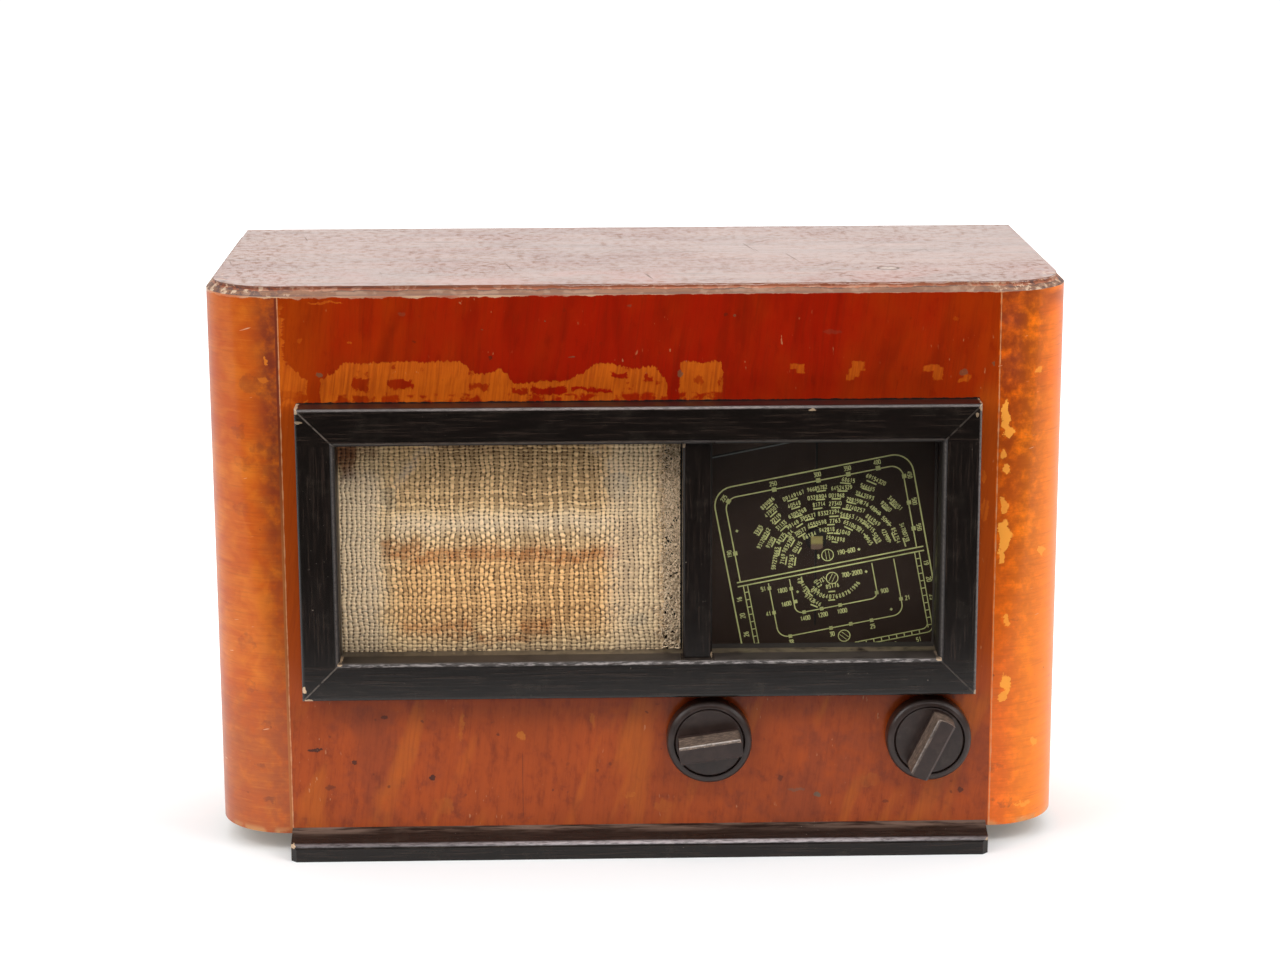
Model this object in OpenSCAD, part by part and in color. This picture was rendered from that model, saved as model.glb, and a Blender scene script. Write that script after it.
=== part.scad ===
// Table radio receiver in a bent plywood cabinet.
// Origin: middle of the whole object's footprint, on the surface it stands on.
// +X is to the right seen from the front, +Y to the back, +Z up.
// The modules draw with the front veneer at Y = 0; set_down() moves them to the origin.

/* [Cabinet] */
// Width over the veneered sides
cabinet_w = 360; // [352:1:400]
// Depth from the front veneer to the back edges of the sides
cabinet_d = 167; // [160:1:200]
// Height from the underside to the top surface
cabinet_h = 235.2; // [228:0.2:280]
// Thickness of the bent plywood sides
wall_t = 7; // [5:0.5:8]
// Outside radius of the upright front corners
corner_r = 31; // [20:1:34]
// Thickness of the top board
top_t = 10; // [8:0.5:16]
// Height of the top board's edge above the sides
top_edge_h = 3.8; // [2.5:0.1:6]
// Depth of the square step at the top of that edge
top_step_h = 1.4; // [0.6:0.1:2]
// Width taken off the top by the bevelled edge
top_bevel_w = 3.2; // [1:0.1:5]
// Thickness of the bottom board
bottom_t = 8; // [6:0.5:12]
// Gap left at a glued wood joint
glue_gap = 0.1; // [0.05:0.01:0.2]

/* [Plinth and feet] */
// Height of the cabinet's underside above the table
stand_h = 8.8; // [6:0.2:14]
// Length of the front moulding
plinth_w = 296; // [240:1:298]
// Distance that the moulding stands in front of the veneer
plinth_proud = 12; // [6:0.5:16]
// Height of the moulding's front edge
plinth_front_h = 6.7; // [5:0.1:8.7]
// Height of the moulding where it meets the veneer
plinth_back_h = 11.2; // [9:0.1:14]
// Width of the moulding under the cabinet
plinth_under = 16; // [8:1:30]
// Small chamfers of the moulding
plinth_chamfer = 1.2; // [0.5:0.1:2]
// Diameter of a rear foot
foot_d = 22; // [14:1:26]
// Distance of a rear foot's axis from the side and from the back
foot_inset = 22; // [18:1:40]

/* [Front panel] */
// Thickness of the front panel
panel_t = 7; // [5:0.5:9]
// Width of the opening inside the black frame
window_w = 250.4; // [244:0.2:252]
// Height of the opening inside the black frame
window_h = 92.7; // [88:0.1:96]
// Height of the sill above the cabinet's underside
sill_h = 78; // [76:0.5:84]
// Width of the black frame's mouldings
frame_w = 16; // [10:0.5:18]
// Distance that the frame stands in front of the veneer
frame_proud = 12; // [6:0.5:16]
// Rounding of the frame's outer edge
frame_round = 1.5; // [0.5:0.1:3]
// Bevel of the frame's inner edge
frame_bevel = 1.8; // [0.5:0.1:3]
// Width of the bar between the two windows
mullion_w = 12.2; // [8:0.2:16]
// Place of the bar, from the middle of the cabinet
mullion_x = 24.2; // [20:0.2:28]
// Distance of the bar's face behind the frame's face
mullion_back = 4; // [1:0.5:8]

/* [Cloth, baffle and loudspeaker] */
// Thickness of the cloth
cloth_t = 0.8; // [0.5:0.1:1.2]
// Distance between the cloth's right edge and the bar's middle
cloth_short = 12; // [2:1:20]
// Thickness of the baffle board
baffle_t = 6.2; // [4:0.2:9]
// Overlap of the baffle and the cloth behind the front panel
baffle_lap = 15.4; // [10:0.2:15.6]
// Place of the loudspeaker's axis, from the middle of the cabinet
speaker_x = -53; // [-58:0.5:-52]
// Height of the loudspeaker's axis above the cabinet's underside
speaker_h = 122.7; // [119:0.1:126]
// Diameter of the loudspeaker's rim
speaker_d = 129; // [120:1:130]
// Diameter of the hole in the baffle
speaker_hole_d = 107; // [90:1:108]
// Depth of the basket behind its rim
basket_depth = 30; // [24:1:40]
// Diameter of the back of the basket
basket_back_d = 62; // [58:1:70]
// Diameter of the magnet
magnet_d = 56; // [44:1:57]
// Length of the magnet
magnet_len = 24; // [14:1:30]
// Diameter of the voice coil
coil_d = 25; // [18:1:28]
// Thickness of the paper cone
cone_t = 0.6; // [0.5:0.1:1]
// Thickness of the cone's cork edge
cone_edge_t = 0.8; // [0.6:0.1:1.5]

/* [Dial] */
// Width of the dial glass
glass_w = 114; // [112:1:116]
// Height of the dial glass
glass_h = 102.4; // [100:0.2:104]
// Thickness of the dial glass
glass_t = 2.8; // [2:0.1:4]
// Tilt of the slipped glass, left side down
glass_tilt = 10.95; // [0:0.05:12]
// Sideways slip of the glass's middle from its window's middle
glass_slip_x = 2.2; // [0:0.1:3]
// Drop of the glass's middle below its window's middle
glass_drop = 7.8; // [4:0.1:9]
// Gap between the baffle and the glass
glass_gap = 1.2; // [1.1:0.1:2]
// Thickness of the rubber buffers behind the glass
buffer_t = 5; // [4.6:0.1:7]
// Side of a rubber buffer
buffer_w = 8; // [5:0.5:9]
// Height of the pointer's axis above the cabinet's underside
pointer_h = 122.2; // [118:0.1:124]
// Length of the needle above its axis
needle_up = 49; // [40:1:50]
// Length of the needle below its axis
needle_down = 38; // [20:1:44]
// Width of the needle
needle_w = 0.9; // [0.6:0.1:1.6]
// Diameter of the pointer's boss
pointer_boss_d = 9; // [8:0.5:12]
// Diameter of the cord drum
drum_d = 78; // [70:1:80]
// Thickness of the cord drum
drum_t = 8; // [6:0.5:9]
// Diameter of the drive cord
cord_d = 1; // [0.8:0.1:1.2]

/* [Controls] */
// Height of the control spindles above the cabinet's underside
control_h = 41.2; // [38:0.2:46]
// Place of the left controls, from the middle of the cabinet
control_left_x = 29.3; // [24:0.1:34]
// Place of the right controls, from the middle of the cabinet
control_right_x = 122.3; // [116:0.1:124]
// Diameter of the outer knob
ring_d = 36; // [32:0.5:40]
// Thickness of the outer knob
ring_t = 8.4; // [7:0.2:12]
// Depth of the outer knob's recess
ring_recess = 6; // [4:0.2:6.4]
// Gap between the outer knob and the veneer
knob_gap = 0.8; // [0.4:0.1:2]
// Diameter of the inner knob
disc_d = 29.2; // [26:0.2:30]
// Gap round the inner knob inside the outer one
knob_ring_gap = 0.3; // [0.3:0.1:0.8]
// Width of the inner knob's grip at its root
grip_w = 9.2; // [6:0.2:11]
// Height of the grip above the disc
grip_h = 14; // [8:0.5:18]
// Angle of the tone knob's grip above the horizontal
tone_grip_angle = 8; // [0:1:20]
// Angle of the band knob's grip above the horizontal
band_grip_angle = 64; // [50:1:70]
// Diameter of a hollow outer spindle
outer_spindle_d = 6.35; // [6:0.05:7]
// Diameter of an inner spindle
inner_spindle_d = 3.2; // [3:0.05:3.6]
// Radial clearance of everything that turns
run_gap = 0.05; // [0.03:0.01:0.08]
// Diameter of the threaded bushes
bush_d = 9.5; // [9:0.1:11]
// Diameter of the potentiometers and of the switch wafers
pot_d = 24; // [20:0.5:28]
// Gap between these and the chassis deck
pot_deck_gap = 1; // [0.5:0.1:4]
// Length of the volume control's case
volume_len = 12; // [9:0.5:16]
// Length of the tone control's case
tone_len = 11; // [9:0.5:16]
// Spacing of the switch wafers
wafer_pitch = 11; // [8:0.5:14]

/* [Chassis] */
// Thickness of the chassis steel
sheet_t = 1.2; // [0.8:0.1:1.6]
// Gap between the cord drum and the chassis's front apron
apron_gap = 7; // [6:0.5:9]
// Gap between the chassis's rear apron and the back cover
rear_gap = 8; // [7:0.5:10]
// Gap between the chassis and the cabinet's sides
side_gap = 19; // [17:0.5:24]
// Width of the turned-in chassis flanges
flange_w = 12; // [9:0.5:16]
// Height of the tuning gang's shaft above its frame's foot
gang_shaft_h = 24; // [22:0.5:26]
// Width of the tuning gang
gang_w = 46; // [44:1:50]
// Length of the tuning gang
gang_len = 48; // [46:1:54]
// Diameter of the gang's shaft
gang_shaft_d = 6; // [5:0.5:6.5]
// Diameter of a valve's glass
valve_d = 20; // [18:0.5:22]
// Height of a valve's glass
valve_h = 54; // [44:1:64]
// Diameter of the smoothing capacitor's can
can_d = 28; // [22:1:30]
// Height of the smoothing capacitor's can
can_h = 58; // [40:1:70]
// Width of a coil can
coil_can_w = 24; // [18:1:26]
// Height of a coil can
coil_can_h = 50; // [36:1:60]
// Width of the mains transformer
mains_w = 60; // [50:1:64]
// Height of the mains transformer
mains_h = 50; // [40:1:60]
// Thickness of the mains transformer's core
mains_core = 32; // [24:1:36]
// Width of the output transformer
output_w = 40; // [32:1:44]
// Height of the output transformer
output_h = 34; // [28:1:44]
// Thickness of the output transformer's core
output_core = 18; // [14:1:22]

/* [Back] */
// Thickness of the back cover
cover_t = 3; // [2:0.5:5]
// Depth of the back cover behind the cabinet's back edges
back_recess = 4; // [3:0.5:8]
// Gap round the back cover
cover_gap = 0.5; // [0.3:0.1:1]
// Diameter of a vent hole
vent_d = 7; // [5:0.5:9]
// Spacing of the vent holes
vent_pitch = 13; // [12:0.5:18]
// Diameter of the aerial and earth sockets' bores
socket_d = 4; // [3.5:0.1:4.5]
// Length of those bores
socket_len = 12; // [8:0.5:14]
// Diameter of the mains pins
mains_pin_d = 4; // [3.5:0.1:5]
// Length of the mains pins
mains_pin_len = 10; // [8:0.5:11]
// Distance between the mains pins
mains_pin_pitch = 19; // [16:0.5:22]

/* [Hidden] */
$fn = 64;

veneer = "#b5561f";
veneer_top = "#8a4a35";
black_lacquer = "#3a3431";
raw_ply = "#b98b5c";
bakelite = "#3d2f29";
steel = "#9a9a98";
brass = "#b8963c";
paxolin = "#8c5a2b";

// Overshoot of a cut past the face that it opens
cut = 1;

// Heights
base_z = stand_h;
board_z = base_z + bottom_t;
top_z = base_z + cabinet_h;
wall_z = top_z - top_edge_h;
sill_z = base_z + sill_h;
window_z = sill_z + window_h / 2;
control_z = base_z + control_h;
pointer_z = base_z + pointer_h;
speaker_z = base_z + speaker_h;
deck_z = control_z + pot_d / 2 + pot_deck_gap + sheet_t;

// Places across the width
seam_x = cabinet_w / 2 - corner_r;
inner_x = cabinet_w / 2 - wall_t;
bar_left = mullion_x - mullion_w / 2;
bar_right = mullion_x + mullion_w / 2;
dial_mid_x = (bar_right + window_w / 2) / 2;
glass_x = dial_mid_x + glass_slip_x;
glass_z = window_z - glass_drop;
pointer_x = (control_left_x + control_right_x) / 2;
chassis_x = inner_x - side_gap;

// Places from front to back
baffle_y = panel_t + cloth_t;
baffle_back_y = baffle_y + baffle_t;
glass_y = baffle_back_y + glass_gap;
glass_back_y = glass_y + glass_t;
plate_y = glass_back_y + buffer_t;
needle_y = glass_back_y + 1.6;
drum_y = plate_y + sheet_t + 2.8;
cord_y = drum_y + drum_t / 2;
apron_y = drum_y + drum_t + apron_gap;
gang_y = apron_y + 2;
cover_y = cabinet_d - back_recess - cover_t;
rear_apron_y = cover_y - rear_gap;
valve_y = rear_apron_y - 26;

// Controls, in front of the veneer
ring_front_y = -knob_gap - ring_t;
ring_floor_y = ring_front_y + ring_recess;
disc_front_y = ring_front_y + 0.3;
disc_back_y = ring_floor_y - 0.5;
grip_front_y = disc_front_y - grip_h;
knob_bore_y = disc_front_y - 6;

// The whole object's front and back, and the move that centres it on the origin
front_y = min(grip_front_y, -plinth_proud);
y_shift = -(front_y + cabinet_d) / 2;

// Bushes and spindles behind the panel
bush_front_y = apron_y - 5.5;
bush_back_y = apron_y + sheet_t;
volume_back_y = bush_back_y + volume_len;
tone_y = volume_back_y + 0.4;
tone_back_y = tone_y + tone_len;
bobbin_r = outer_spindle_d / 2 + 0.8;
bobbin_flange_r = bobbin_r + 3;
bobbin_w = 6;

// Fasteners
screw_d = 3;
screw_gap = 0.05;
head_d = 6.4;
head_t = 2;
bolt_d = 4;

post_w = 14;
post_inset_z = 30;
cover_screw_bite = 8;
cover_screws = [
    for (s = [-1, 1]) for (z = [base_z + bottom_t + post_inset_z, wall_z - post_inset_z])
        [s * (inner_x - post_w / 2), z],
    for (s = [-1, 1]) [s * cabinet_w / 6, base_z + bottom_t / 2]
];
// The screws keep a third of the way from the window to the seam
baffle_screw_x = window_w / 2 + (seam_x - window_w / 2) * 0.32;
baffle_screw_places = [
    for (s = [-1, 1]) for (z = [sill_z - baffle_lap / 2, sill_z + window_h + baffle_lap / 2])
        [s * baffle_screw_x, z]
];
speaker_screw_r = speaker_d / 2 - 4;
bolt_places = [
    for (s = [-1, 1])
        for (y = [apron_y + flange_w / 2 + sheet_t, rear_apron_y - flange_w / 2 - sheet_t])
            [s * (chassis_x - 18), y]
];

// Valves, coil cans and other pieces on the deck
coil_can_places = [[speaker_x + 60, valve_y], [pointer_x + 14, valve_y + 4]];
can_place = [pointer_x - gang_w / 2 - can_d / 2 - 12, apron_y + 34];
mains_place = [-chassis_x + mains_w / 2 + 6, rear_apron_y - mains_core / 2 - 18];
output_place = [-chassis_x + output_w / 2 + 8, apron_y + output_core / 2 + 12];
// Free deck between the mains transformer and the first coil can, for two valves
valve_room_x = mains_place[0] + mains_w / 2;
valve_room = coil_can_places[0][0] - coil_can_w / 2 - valve_room_x;
valve_places = [
    [valve_room_x + valve_room / 4, valve_y], [valve_room_x + valve_room * 3 / 4, valve_y],
    [pointer_x - 28, valve_y], [chassis_x - 22, valve_y - 24]
];
socket_body_d = valve_d + 1;
socket_body_h = 8;
socket_flange_t = 1.5;
socket_flange_w = 4;
pin_depth = 6;
pin_r = 0.5;
pin_lap = 0.5;
dome_h = 8;
electrode_w = 10;
electrode_d = 7;
electrode_foot = 4;
electrode_top_gap = 20;
socket_strip_x = pointer_x - 20;
inlet_x = -chassis_x + 50;
strip_w = 42;
strip_h = 18;
strip_t = 2;
socket_pitch = 19;
socket_z = (board_z + deck_z) / 2;

// Moves a piece drawn from the front veneer to the origin of the whole object
module set_down() {
    translate([0, y_shift, 0]) children();
}

// Turns a solid of revolution so that its axis runs back along +Y from (x, y, z)
module along_y(x, y, z) {
    translate([x, y, z]) rotate([-90, 0, 0]) children();
}

// Straight round bar along +Y
module bar_y(x, y, z, d, len) {
    along_y(x, y, z) cylinder(d = d, h = len);
}

// Plan outline with two rounded front corners
module front_rounded(w, y0, y1, r) {
    translate([-w / 2, y0 + r]) square([w, y1 - y0 - r]);
    translate([-w / 2 + r, y0]) square([w - 2 * r, r]);
    for (s = [-1, 1]) translate([s * (w / 2 - r), y0 + r]) circle(r);
}

// Plan outline inside the cabinet's walls, smaller by gap
module inner_outline(gap, y1) {
    front_rounded(2 * (inner_x - gap), panel_t + gap, y1, corner_r - wall_t - gap);
}

// Half section through the edge of the top board, out to the rounded corner's radius
function top_section(r) = [
    [0, wall_z], [r, wall_z], [r - top_bevel_w + 0.5, top_z - top_step_h],
    [r - top_bevel_w, top_z - top_step_h], [r - top_bevel_w, top_z], [0, top_z]
];

module top_panel() {
    color(veneer_top) set_down() {
        for (s = [-1, 1]) translate([s * seam_x, corner_r, 0])
            rotate_extrude() polygon(top_section(corner_r));
        translate([-seam_x, corner_r, 0]) rotate([90, 0, 90]) linear_extrude(2 * seam_x)
            polygon([for (p = top_section(corner_r)) [-p[0], p[1]]]);
        for (s = [0, 1]) mirror([s, 0, 0]) translate([seam_x, cabinet_d, 0]) rotate([90, 0, 0])
            linear_extrude(cabinet_d - corner_r) polygon(top_section(corner_r));
        translate([-seam_x, corner_r, wall_z]) cube([2 * seam_x, cabinet_d - corner_r, top_edge_h]);
        translate([0, 0, top_z - top_t]) linear_extrude(top_t - top_edge_h)
            inner_outline(glue_gap, cover_y);
    }
}

module bottom_board() {
    slot_len = 60;
    slot_w = 6;
    color(raw_ply) set_down() difference() {
        translate([0, 0, base_z]) linear_extrude(bottom_t) inner_outline(glue_gap, cover_y);
        for (p = bolt_places) translate([p[0], p[1], base_z - cut])
            cylinder(d = bolt_d + 0.4, h = bottom_t + 2 * cut);
        for (x = [speaker_x - 10, pointer_x]) for (i = [0:3])
            translate([x - slot_len / 2, valve_y - 30 + i * 14, base_z - cut])
                cube([slot_len, slot_w, bottom_t + 2 * cut]);
        for (p = cover_screws) if (p[1] < board_z)
            bar_y(p[0], cover_y - 9, p[1], screw_d + 2 * screw_gap, 9 + cut);
    }
}

module side_wall() {
    color(veneer) set_down() translate([0, 0, base_z]) linear_extrude(wall_z - base_z)
        intersection() {
            difference() {
                front_rounded(cabinet_w, 0, cabinet_d, corner_r);
                front_rounded(2 * inner_x, wall_t, cabinet_d + cut, corner_r - wall_t);
            }
            translate([seam_x, -cut]) square([corner_r + cut, cabinet_d + 2 * cut]);
        }
}

module side_left() {
    mirror([1, 0, 0]) side_wall();
}

module side_right() {
    side_wall();
}

module front_panel() {
    spindle_hole_d = 15;
    color(veneer) set_down() difference() {
        translate([-seam_x, 0, base_z]) cube([2 * seam_x, panel_t, wall_z - base_z]);
        translate([-window_w / 2, -cut, sill_z])
            cube([bar_left + window_w / 2, panel_t + 2 * cut, window_h]);
        translate([bar_right, -cut, sill_z])
            cube([window_w / 2 - bar_right, panel_t + 2 * cut, window_h]);
        for (x = [control_left_x, control_right_x])
            bar_y(x, -cut, control_z, spindle_hole_d, panel_t + 2 * cut);
        for (p = baffle_screw_places)
            bar_y(p[0], panel_t - 4, p[1], screw_d + 2 * screw_gap, 4 + cut);
    }
}

module corner_posts() {
    post_z = board_z + glue_gap;
    post_h = top_z - top_t - glue_gap - post_z;
    block_w = 15;
    color(raw_ply) set_down() {
        difference() {
            for (s = [-1, 1])
                translate([s * (inner_x - glue_gap - post_w / 2), cover_y - post_w / 2, post_z])
                    translate([-post_w / 2, -post_w / 2, 0]) cube([post_w, post_w, post_h]);
            for (p = cover_screws)
                bar_y(p[0], cover_y - 9, p[1], screw_d + 2 * screw_gap, 9 + cut);
        }
        translate([0, 0, post_z]) linear_extrude(post_h) intersection() {
            inner_outline(glue_gap, cabinet_d);
            for (s = [-1, 1])
                translate([s * (window_w / 2 + baffle_lap + 0.3 + block_w / 2), panel_t + 3.7])
                    square([block_w, 7], center = true);
        }
    }
}

module plinth_moulding() {
    c = plinth_chamfer;
    color(black_lacquer) set_down() intersection() {
        translate([-plinth_w / 2, 0, 0]) rotate([90, 0, 90]) linear_extrude(plinth_w) polygon([
            [-plinth_proud, 0], [-plinth_proud, plinth_front_h - c], [-plinth_proud + c, plinth_front_h],
            [-plinth_proud / 2, (plinth_front_h + plinth_back_h) / 2 - 0.4], [0, plinth_back_h],
            [0, base_z], [plinth_under, base_z], [plinth_under, 0]
        ]);
        linear_extrude(plinth_back_h + cut) polygon([
            [-plinth_w / 2, plinth_under], [-plinth_w / 2, -plinth_proud + 2 * c],
            [-plinth_w / 2 + 2 * c, -plinth_proud], [plinth_w / 2 - 2 * c, -plinth_proud],
            [plinth_w / 2, -plinth_proud + 2 * c], [plinth_w / 2, plinth_under]
        ]);
    }
}

module rear_feet() {
    color(black_lacquer) set_down() for (s = [-1, 1])
        translate([s * (cabinet_w / 2 - foot_inset), cover_y - foot_inset + foot_d / 2, 0]) {
            cylinder(d1 = foot_d - 2, d2 = foot_d, h = 1);
            translate([0, 0, 1]) cylinder(d = foot_d, h = base_z - 1);
        }
}

// Section of the frame's moulding: back at Y = 0, outer edge at Z = 0, opening at Z = -frame_w
function frame_section() = concat(
    [[0, 0]],
    [for (i = [0:4]) let (a = i * 22.5) [
        -frame_proud + frame_round * (1 - sin(a)) , -frame_round * (1 - cos(a))
    ]],
    [[-frame_proud, -frame_w + frame_bevel], [-frame_proud + frame_bevel, -frame_w], [0, -frame_w]]
);

// One mitred length of the frame, its outer edge up
module frame_member(len) {
    color(black_lacquer) intersection() {
        translate([-len / 2, 0, 0]) rotate([90, 0, 90]) linear_extrude(len) polygon(frame_section());
        rotate([90, 0, 0]) translate([0, 0, -cut]) linear_extrude(frame_proud + 2 * cut) polygon([
            [-len / 2, 0], [len / 2, 0], [len / 2 - frame_w, -frame_w], [-len / 2 + frame_w, -frame_w]
        ]);
    }
}

module bezel_top() {
    set_down() translate([0, 0, sill_z + window_h + frame_w]) frame_member(window_w + 2 * frame_w);
}

module bezel_bottom() {
    set_down() translate([0, 0, sill_z - frame_w]) rotate([0, 180, 0])
        frame_member(window_w + 2 * frame_w);
}

module bezel_left() {
    set_down() translate([-window_w / 2 - frame_w, 0, window_z]) rotate([0, -90, 0])
        frame_member(window_h + 2 * frame_w);
}

module bezel_right() {
    set_down() translate([window_w / 2 + frame_w, 0, window_z]) rotate([0, 90, 0])
        frame_member(window_h + 2 * frame_w);
}

module mullion() {
    face_y = -frame_proud + mullion_back;
    bevel = 0.8;
    color(black_lacquer) set_down() translate([mullion_x, 0, sill_z]) linear_extrude(window_h) polygon([
        [-mullion_w / 2, 0], [-mullion_w / 2, face_y + bevel], [-mullion_w / 2 + bevel, face_y],
        [mullion_w / 2 - bevel, face_y], [mullion_w / 2, face_y + bevel], [mullion_w / 2, 0]
    ]);
}

module grille_cloth() {
    left = -window_w / 2 - baffle_lap + 4;
    tuck = 11;
    color("#a9855c") set_down() difference() {
        translate([left, panel_t, sill_z - tuck])
            cube([mullion_x - cloth_short - left, cloth_t, window_h + 2 * tuck]);
        for (p = baffle_screw_places)
            bar_y(p[0], panel_t - cut, p[1], screw_d + 2 * screw_gap, cloth_t + 2 * cut);
    }
}

// Countersunk wood screw, head flush at Y = 0, pointing to -Y
module flush_screw(gap) {
    rotate([90, 0, 0]) {
        cylinder(d1 = head_d + 2 * gap, d2 = screw_d + 2 * gap, h = head_t);
        translate([0, 0, head_t]) cylinder(d = screw_d + 2 * gap, h = baffle_t + cloth_t + 3.5 - head_t);
    }
}

module baffle_board() {
    color("#5a4634") set_down() difference() {
        translate([-window_w / 2 - baffle_lap, baffle_y, sill_z - baffle_lap])
            cube([window_w + 2 * baffle_lap, baffle_t, window_h + 2 * baffle_lap]);
        bar_y(speaker_x, baffle_y - cut, speaker_z, speaker_hole_d, baffle_t + 2 * cut);
        translate([bar_right, baffle_y - cut, sill_z])
            cube([window_w / 2 - bar_right, baffle_t + 2 * cut, window_h]);
        for (p = baffle_screw_places) translate([p[0], baffle_back_y, p[1]]) flush_screw(screw_gap);
        for (i = [0:3]) rotate_about_speaker(45 + 90 * i)
            bar_y(speaker_screw_r, baffle_y, 0, screw_d + 2 * screw_gap, baffle_t + cut);
    }
}

// Turns a piece drawn along +X about the loudspeaker's axis
module rotate_about_speaker(a) {
    translate([speaker_x, 0, speaker_z]) rotate([0, a, 0]) children();
}

module baffle_screws() {
    color(steel) set_down() for (p = baffle_screw_places)
        translate([p[0], baffle_back_y, p[1]]) flush_screw(0);
}

// Round-headed screw: head in front of Y = 0 on the +Y side, shank to -Y
module round_screw(len) {
    rotate([-90, 0, 0]) {
        cylinder(d = head_d, h = head_t * 0.5);
        translate([0, 0, head_t * 0.5]) cylinder(d1 = head_d, d2 = head_d * 0.6, h = head_t * 0.5);
        translate([0, 0, -len]) cylinder(d = screw_d, h = len);
    }
}

module speaker_screws() {
    color(steel) set_down() for (i = [0:3]) rotate_about_speaker(45 + 90 * i)
        translate([speaker_screw_r, speaker_rim_y + sheet_t, 0])
            round_screw(sheet_t + cone_edge_t + baffle_t - 1);
}

// Loudspeaker, from the baffle back: cork edge, rim, basket, magnet
speaker_rim_y = baffle_back_y + cone_edge_t;
basket_back_y = speaker_rim_y + basket_depth;
cone_mouth_r = speaker_hole_d / 2 - 3.5;
cone_throat_y = basket_back_y - 9;

module speaker_frame() {
    rim_in = speaker_hole_d / 2 - 1;
    leg_gap = 34;
    color(steel) set_down() difference() {
        along_y(speaker_x, speaker_rim_y, speaker_z) rotate_extrude() polygon([
            [rim_in, 0], [speaker_d / 2, 0], [speaker_d / 2, sheet_t], [rim_in + sheet_t + 0.6, sheet_t],
            [basket_back_d / 2, basket_depth - sheet_t], [basket_back_d / 2, basket_depth],
            [coil_d / 2 + 3, basket_depth], [coil_d / 2 + 3, basket_depth - sheet_t],
            [basket_back_d / 2 - 2 * sheet_t, basket_depth - sheet_t], [rim_in, sheet_t]
        ]);
        for (i = [0:3]) rotate_about_speaker(90 * i)
            translate([basket_back_d / 2 - 3, speaker_rim_y + 4, -leg_gap / 2])
                cube([speaker_d, basket_depth - 8, leg_gap]);
        for (i = [0:3]) rotate_about_speaker(45 + 90 * i)
            bar_y(speaker_screw_r, speaker_rim_y - cut, 0, screw_d + 2 * screw_gap, sheet_t + 2 * cut);
    }
}

module speaker_cone() {
    depth = cone_throat_y - speaker_rim_y;
    edge = cone_edge_t;
    color("#2d2a28") set_down() {
        difference() {
            along_y(speaker_x, baffle_back_y, speaker_z) rotate_extrude() polygon([
                [cone_mouth_r, 0], [speaker_d / 2, 0], [speaker_d / 2, edge], [cone_mouth_r + 1.5, edge],
                [cone_mouth_r - 0.5, edge + 1.4], [coil_d / 2 + cone_t, edge + depth],
                [coil_d / 2 + cone_t, edge + depth + 9], [coil_d / 2, edge + depth + 9],
                [coil_d / 2, edge + depth - 1.2], [cone_mouth_r - 2.4, edge + 0.6]
            ]);
            for (i = [0:3]) rotate_about_speaker(45 + 90 * i)
                bar_y(speaker_screw_r, baffle_back_y - cut, 0, screw_d + 2 * screw_gap, edge + 2 * cut);
        }
        along_y(speaker_x, cone_throat_y - 7, speaker_z) rotate_extrude() polygon(concat(
            [for (i = [0:5]) let (a = i * 15) [(coil_d / 2 - 0.3) * sin(a), 5 * (1 - cos(a)) ]],
            [[coil_d / 2 - 0.3, 5], [coil_d / 2 - 0.3, 9], [coil_d / 2 - 0.3 - cone_t, 9]],
            [for (i = [5:-1:0]) let (a = i * 15) [(coil_d / 2 - 0.9) * sin(a), 5.6 - 5 * cos(a)]]
        ));
    }
}

module speaker_magnet() {
    gap = 0.6;
    front_t = 4;
    pole_r = coil_d / 2 - gap;
    color("#6d6f70") set_down() along_y(speaker_x, basket_back_y + 0.02, speaker_z)
        difference() {
            union() {
                cylinder(d = magnet_d + 4, h = front_t);
                translate([0, 0, front_t]) cylinder(d = magnet_d, h = magnet_len - 2 * front_t);
                translate([0, 0, magnet_len - front_t]) cylinder(d = magnet_d + 4, h = front_t);
            }
            translate([0, 0, -cut]) difference() {
                cylinder(d = coil_d + 2 * (cone_t + gap), h = front_t + 6 + cut);
                cylinder(r = pole_r, h = front_t + 7 + cut);
            }
        }
}

// Places a piece drawn in the slipped glass's own plane, its middle at the origin
module on_glass() {
    translate([glass_x, 0, glass_z]) rotate([0, -glass_tilt, 0]) children();
}

module dial_glass() {
    color("#1c1a1a") set_down() on_glass()
        translate([-glass_w / 2, glass_y, -glass_h / 2]) cube([glass_w, glass_t, glass_h]);
}

buffer_places = [for (sx = [-1, 1]) for (sz = [-1, 1])
    [sx * (glass_w / 2 - 6), sz * (glass_h / 2 - 6)]];
clip_places = [for (sx = [-1, 1]) for (z = [glass_h / 2 - 20, -glass_h / 2 + 14]) [sx, z]];
plate_x0 = glass_x - glass_w / 2 - 12;
plate_x1 = glass_x + glass_w / 2 + 10;
glass_top_z = glass_z + glass_h / 2;
plate_top_z = glass_top_z + (top_z - top_t - glass_top_z) * 0.26;

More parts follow.
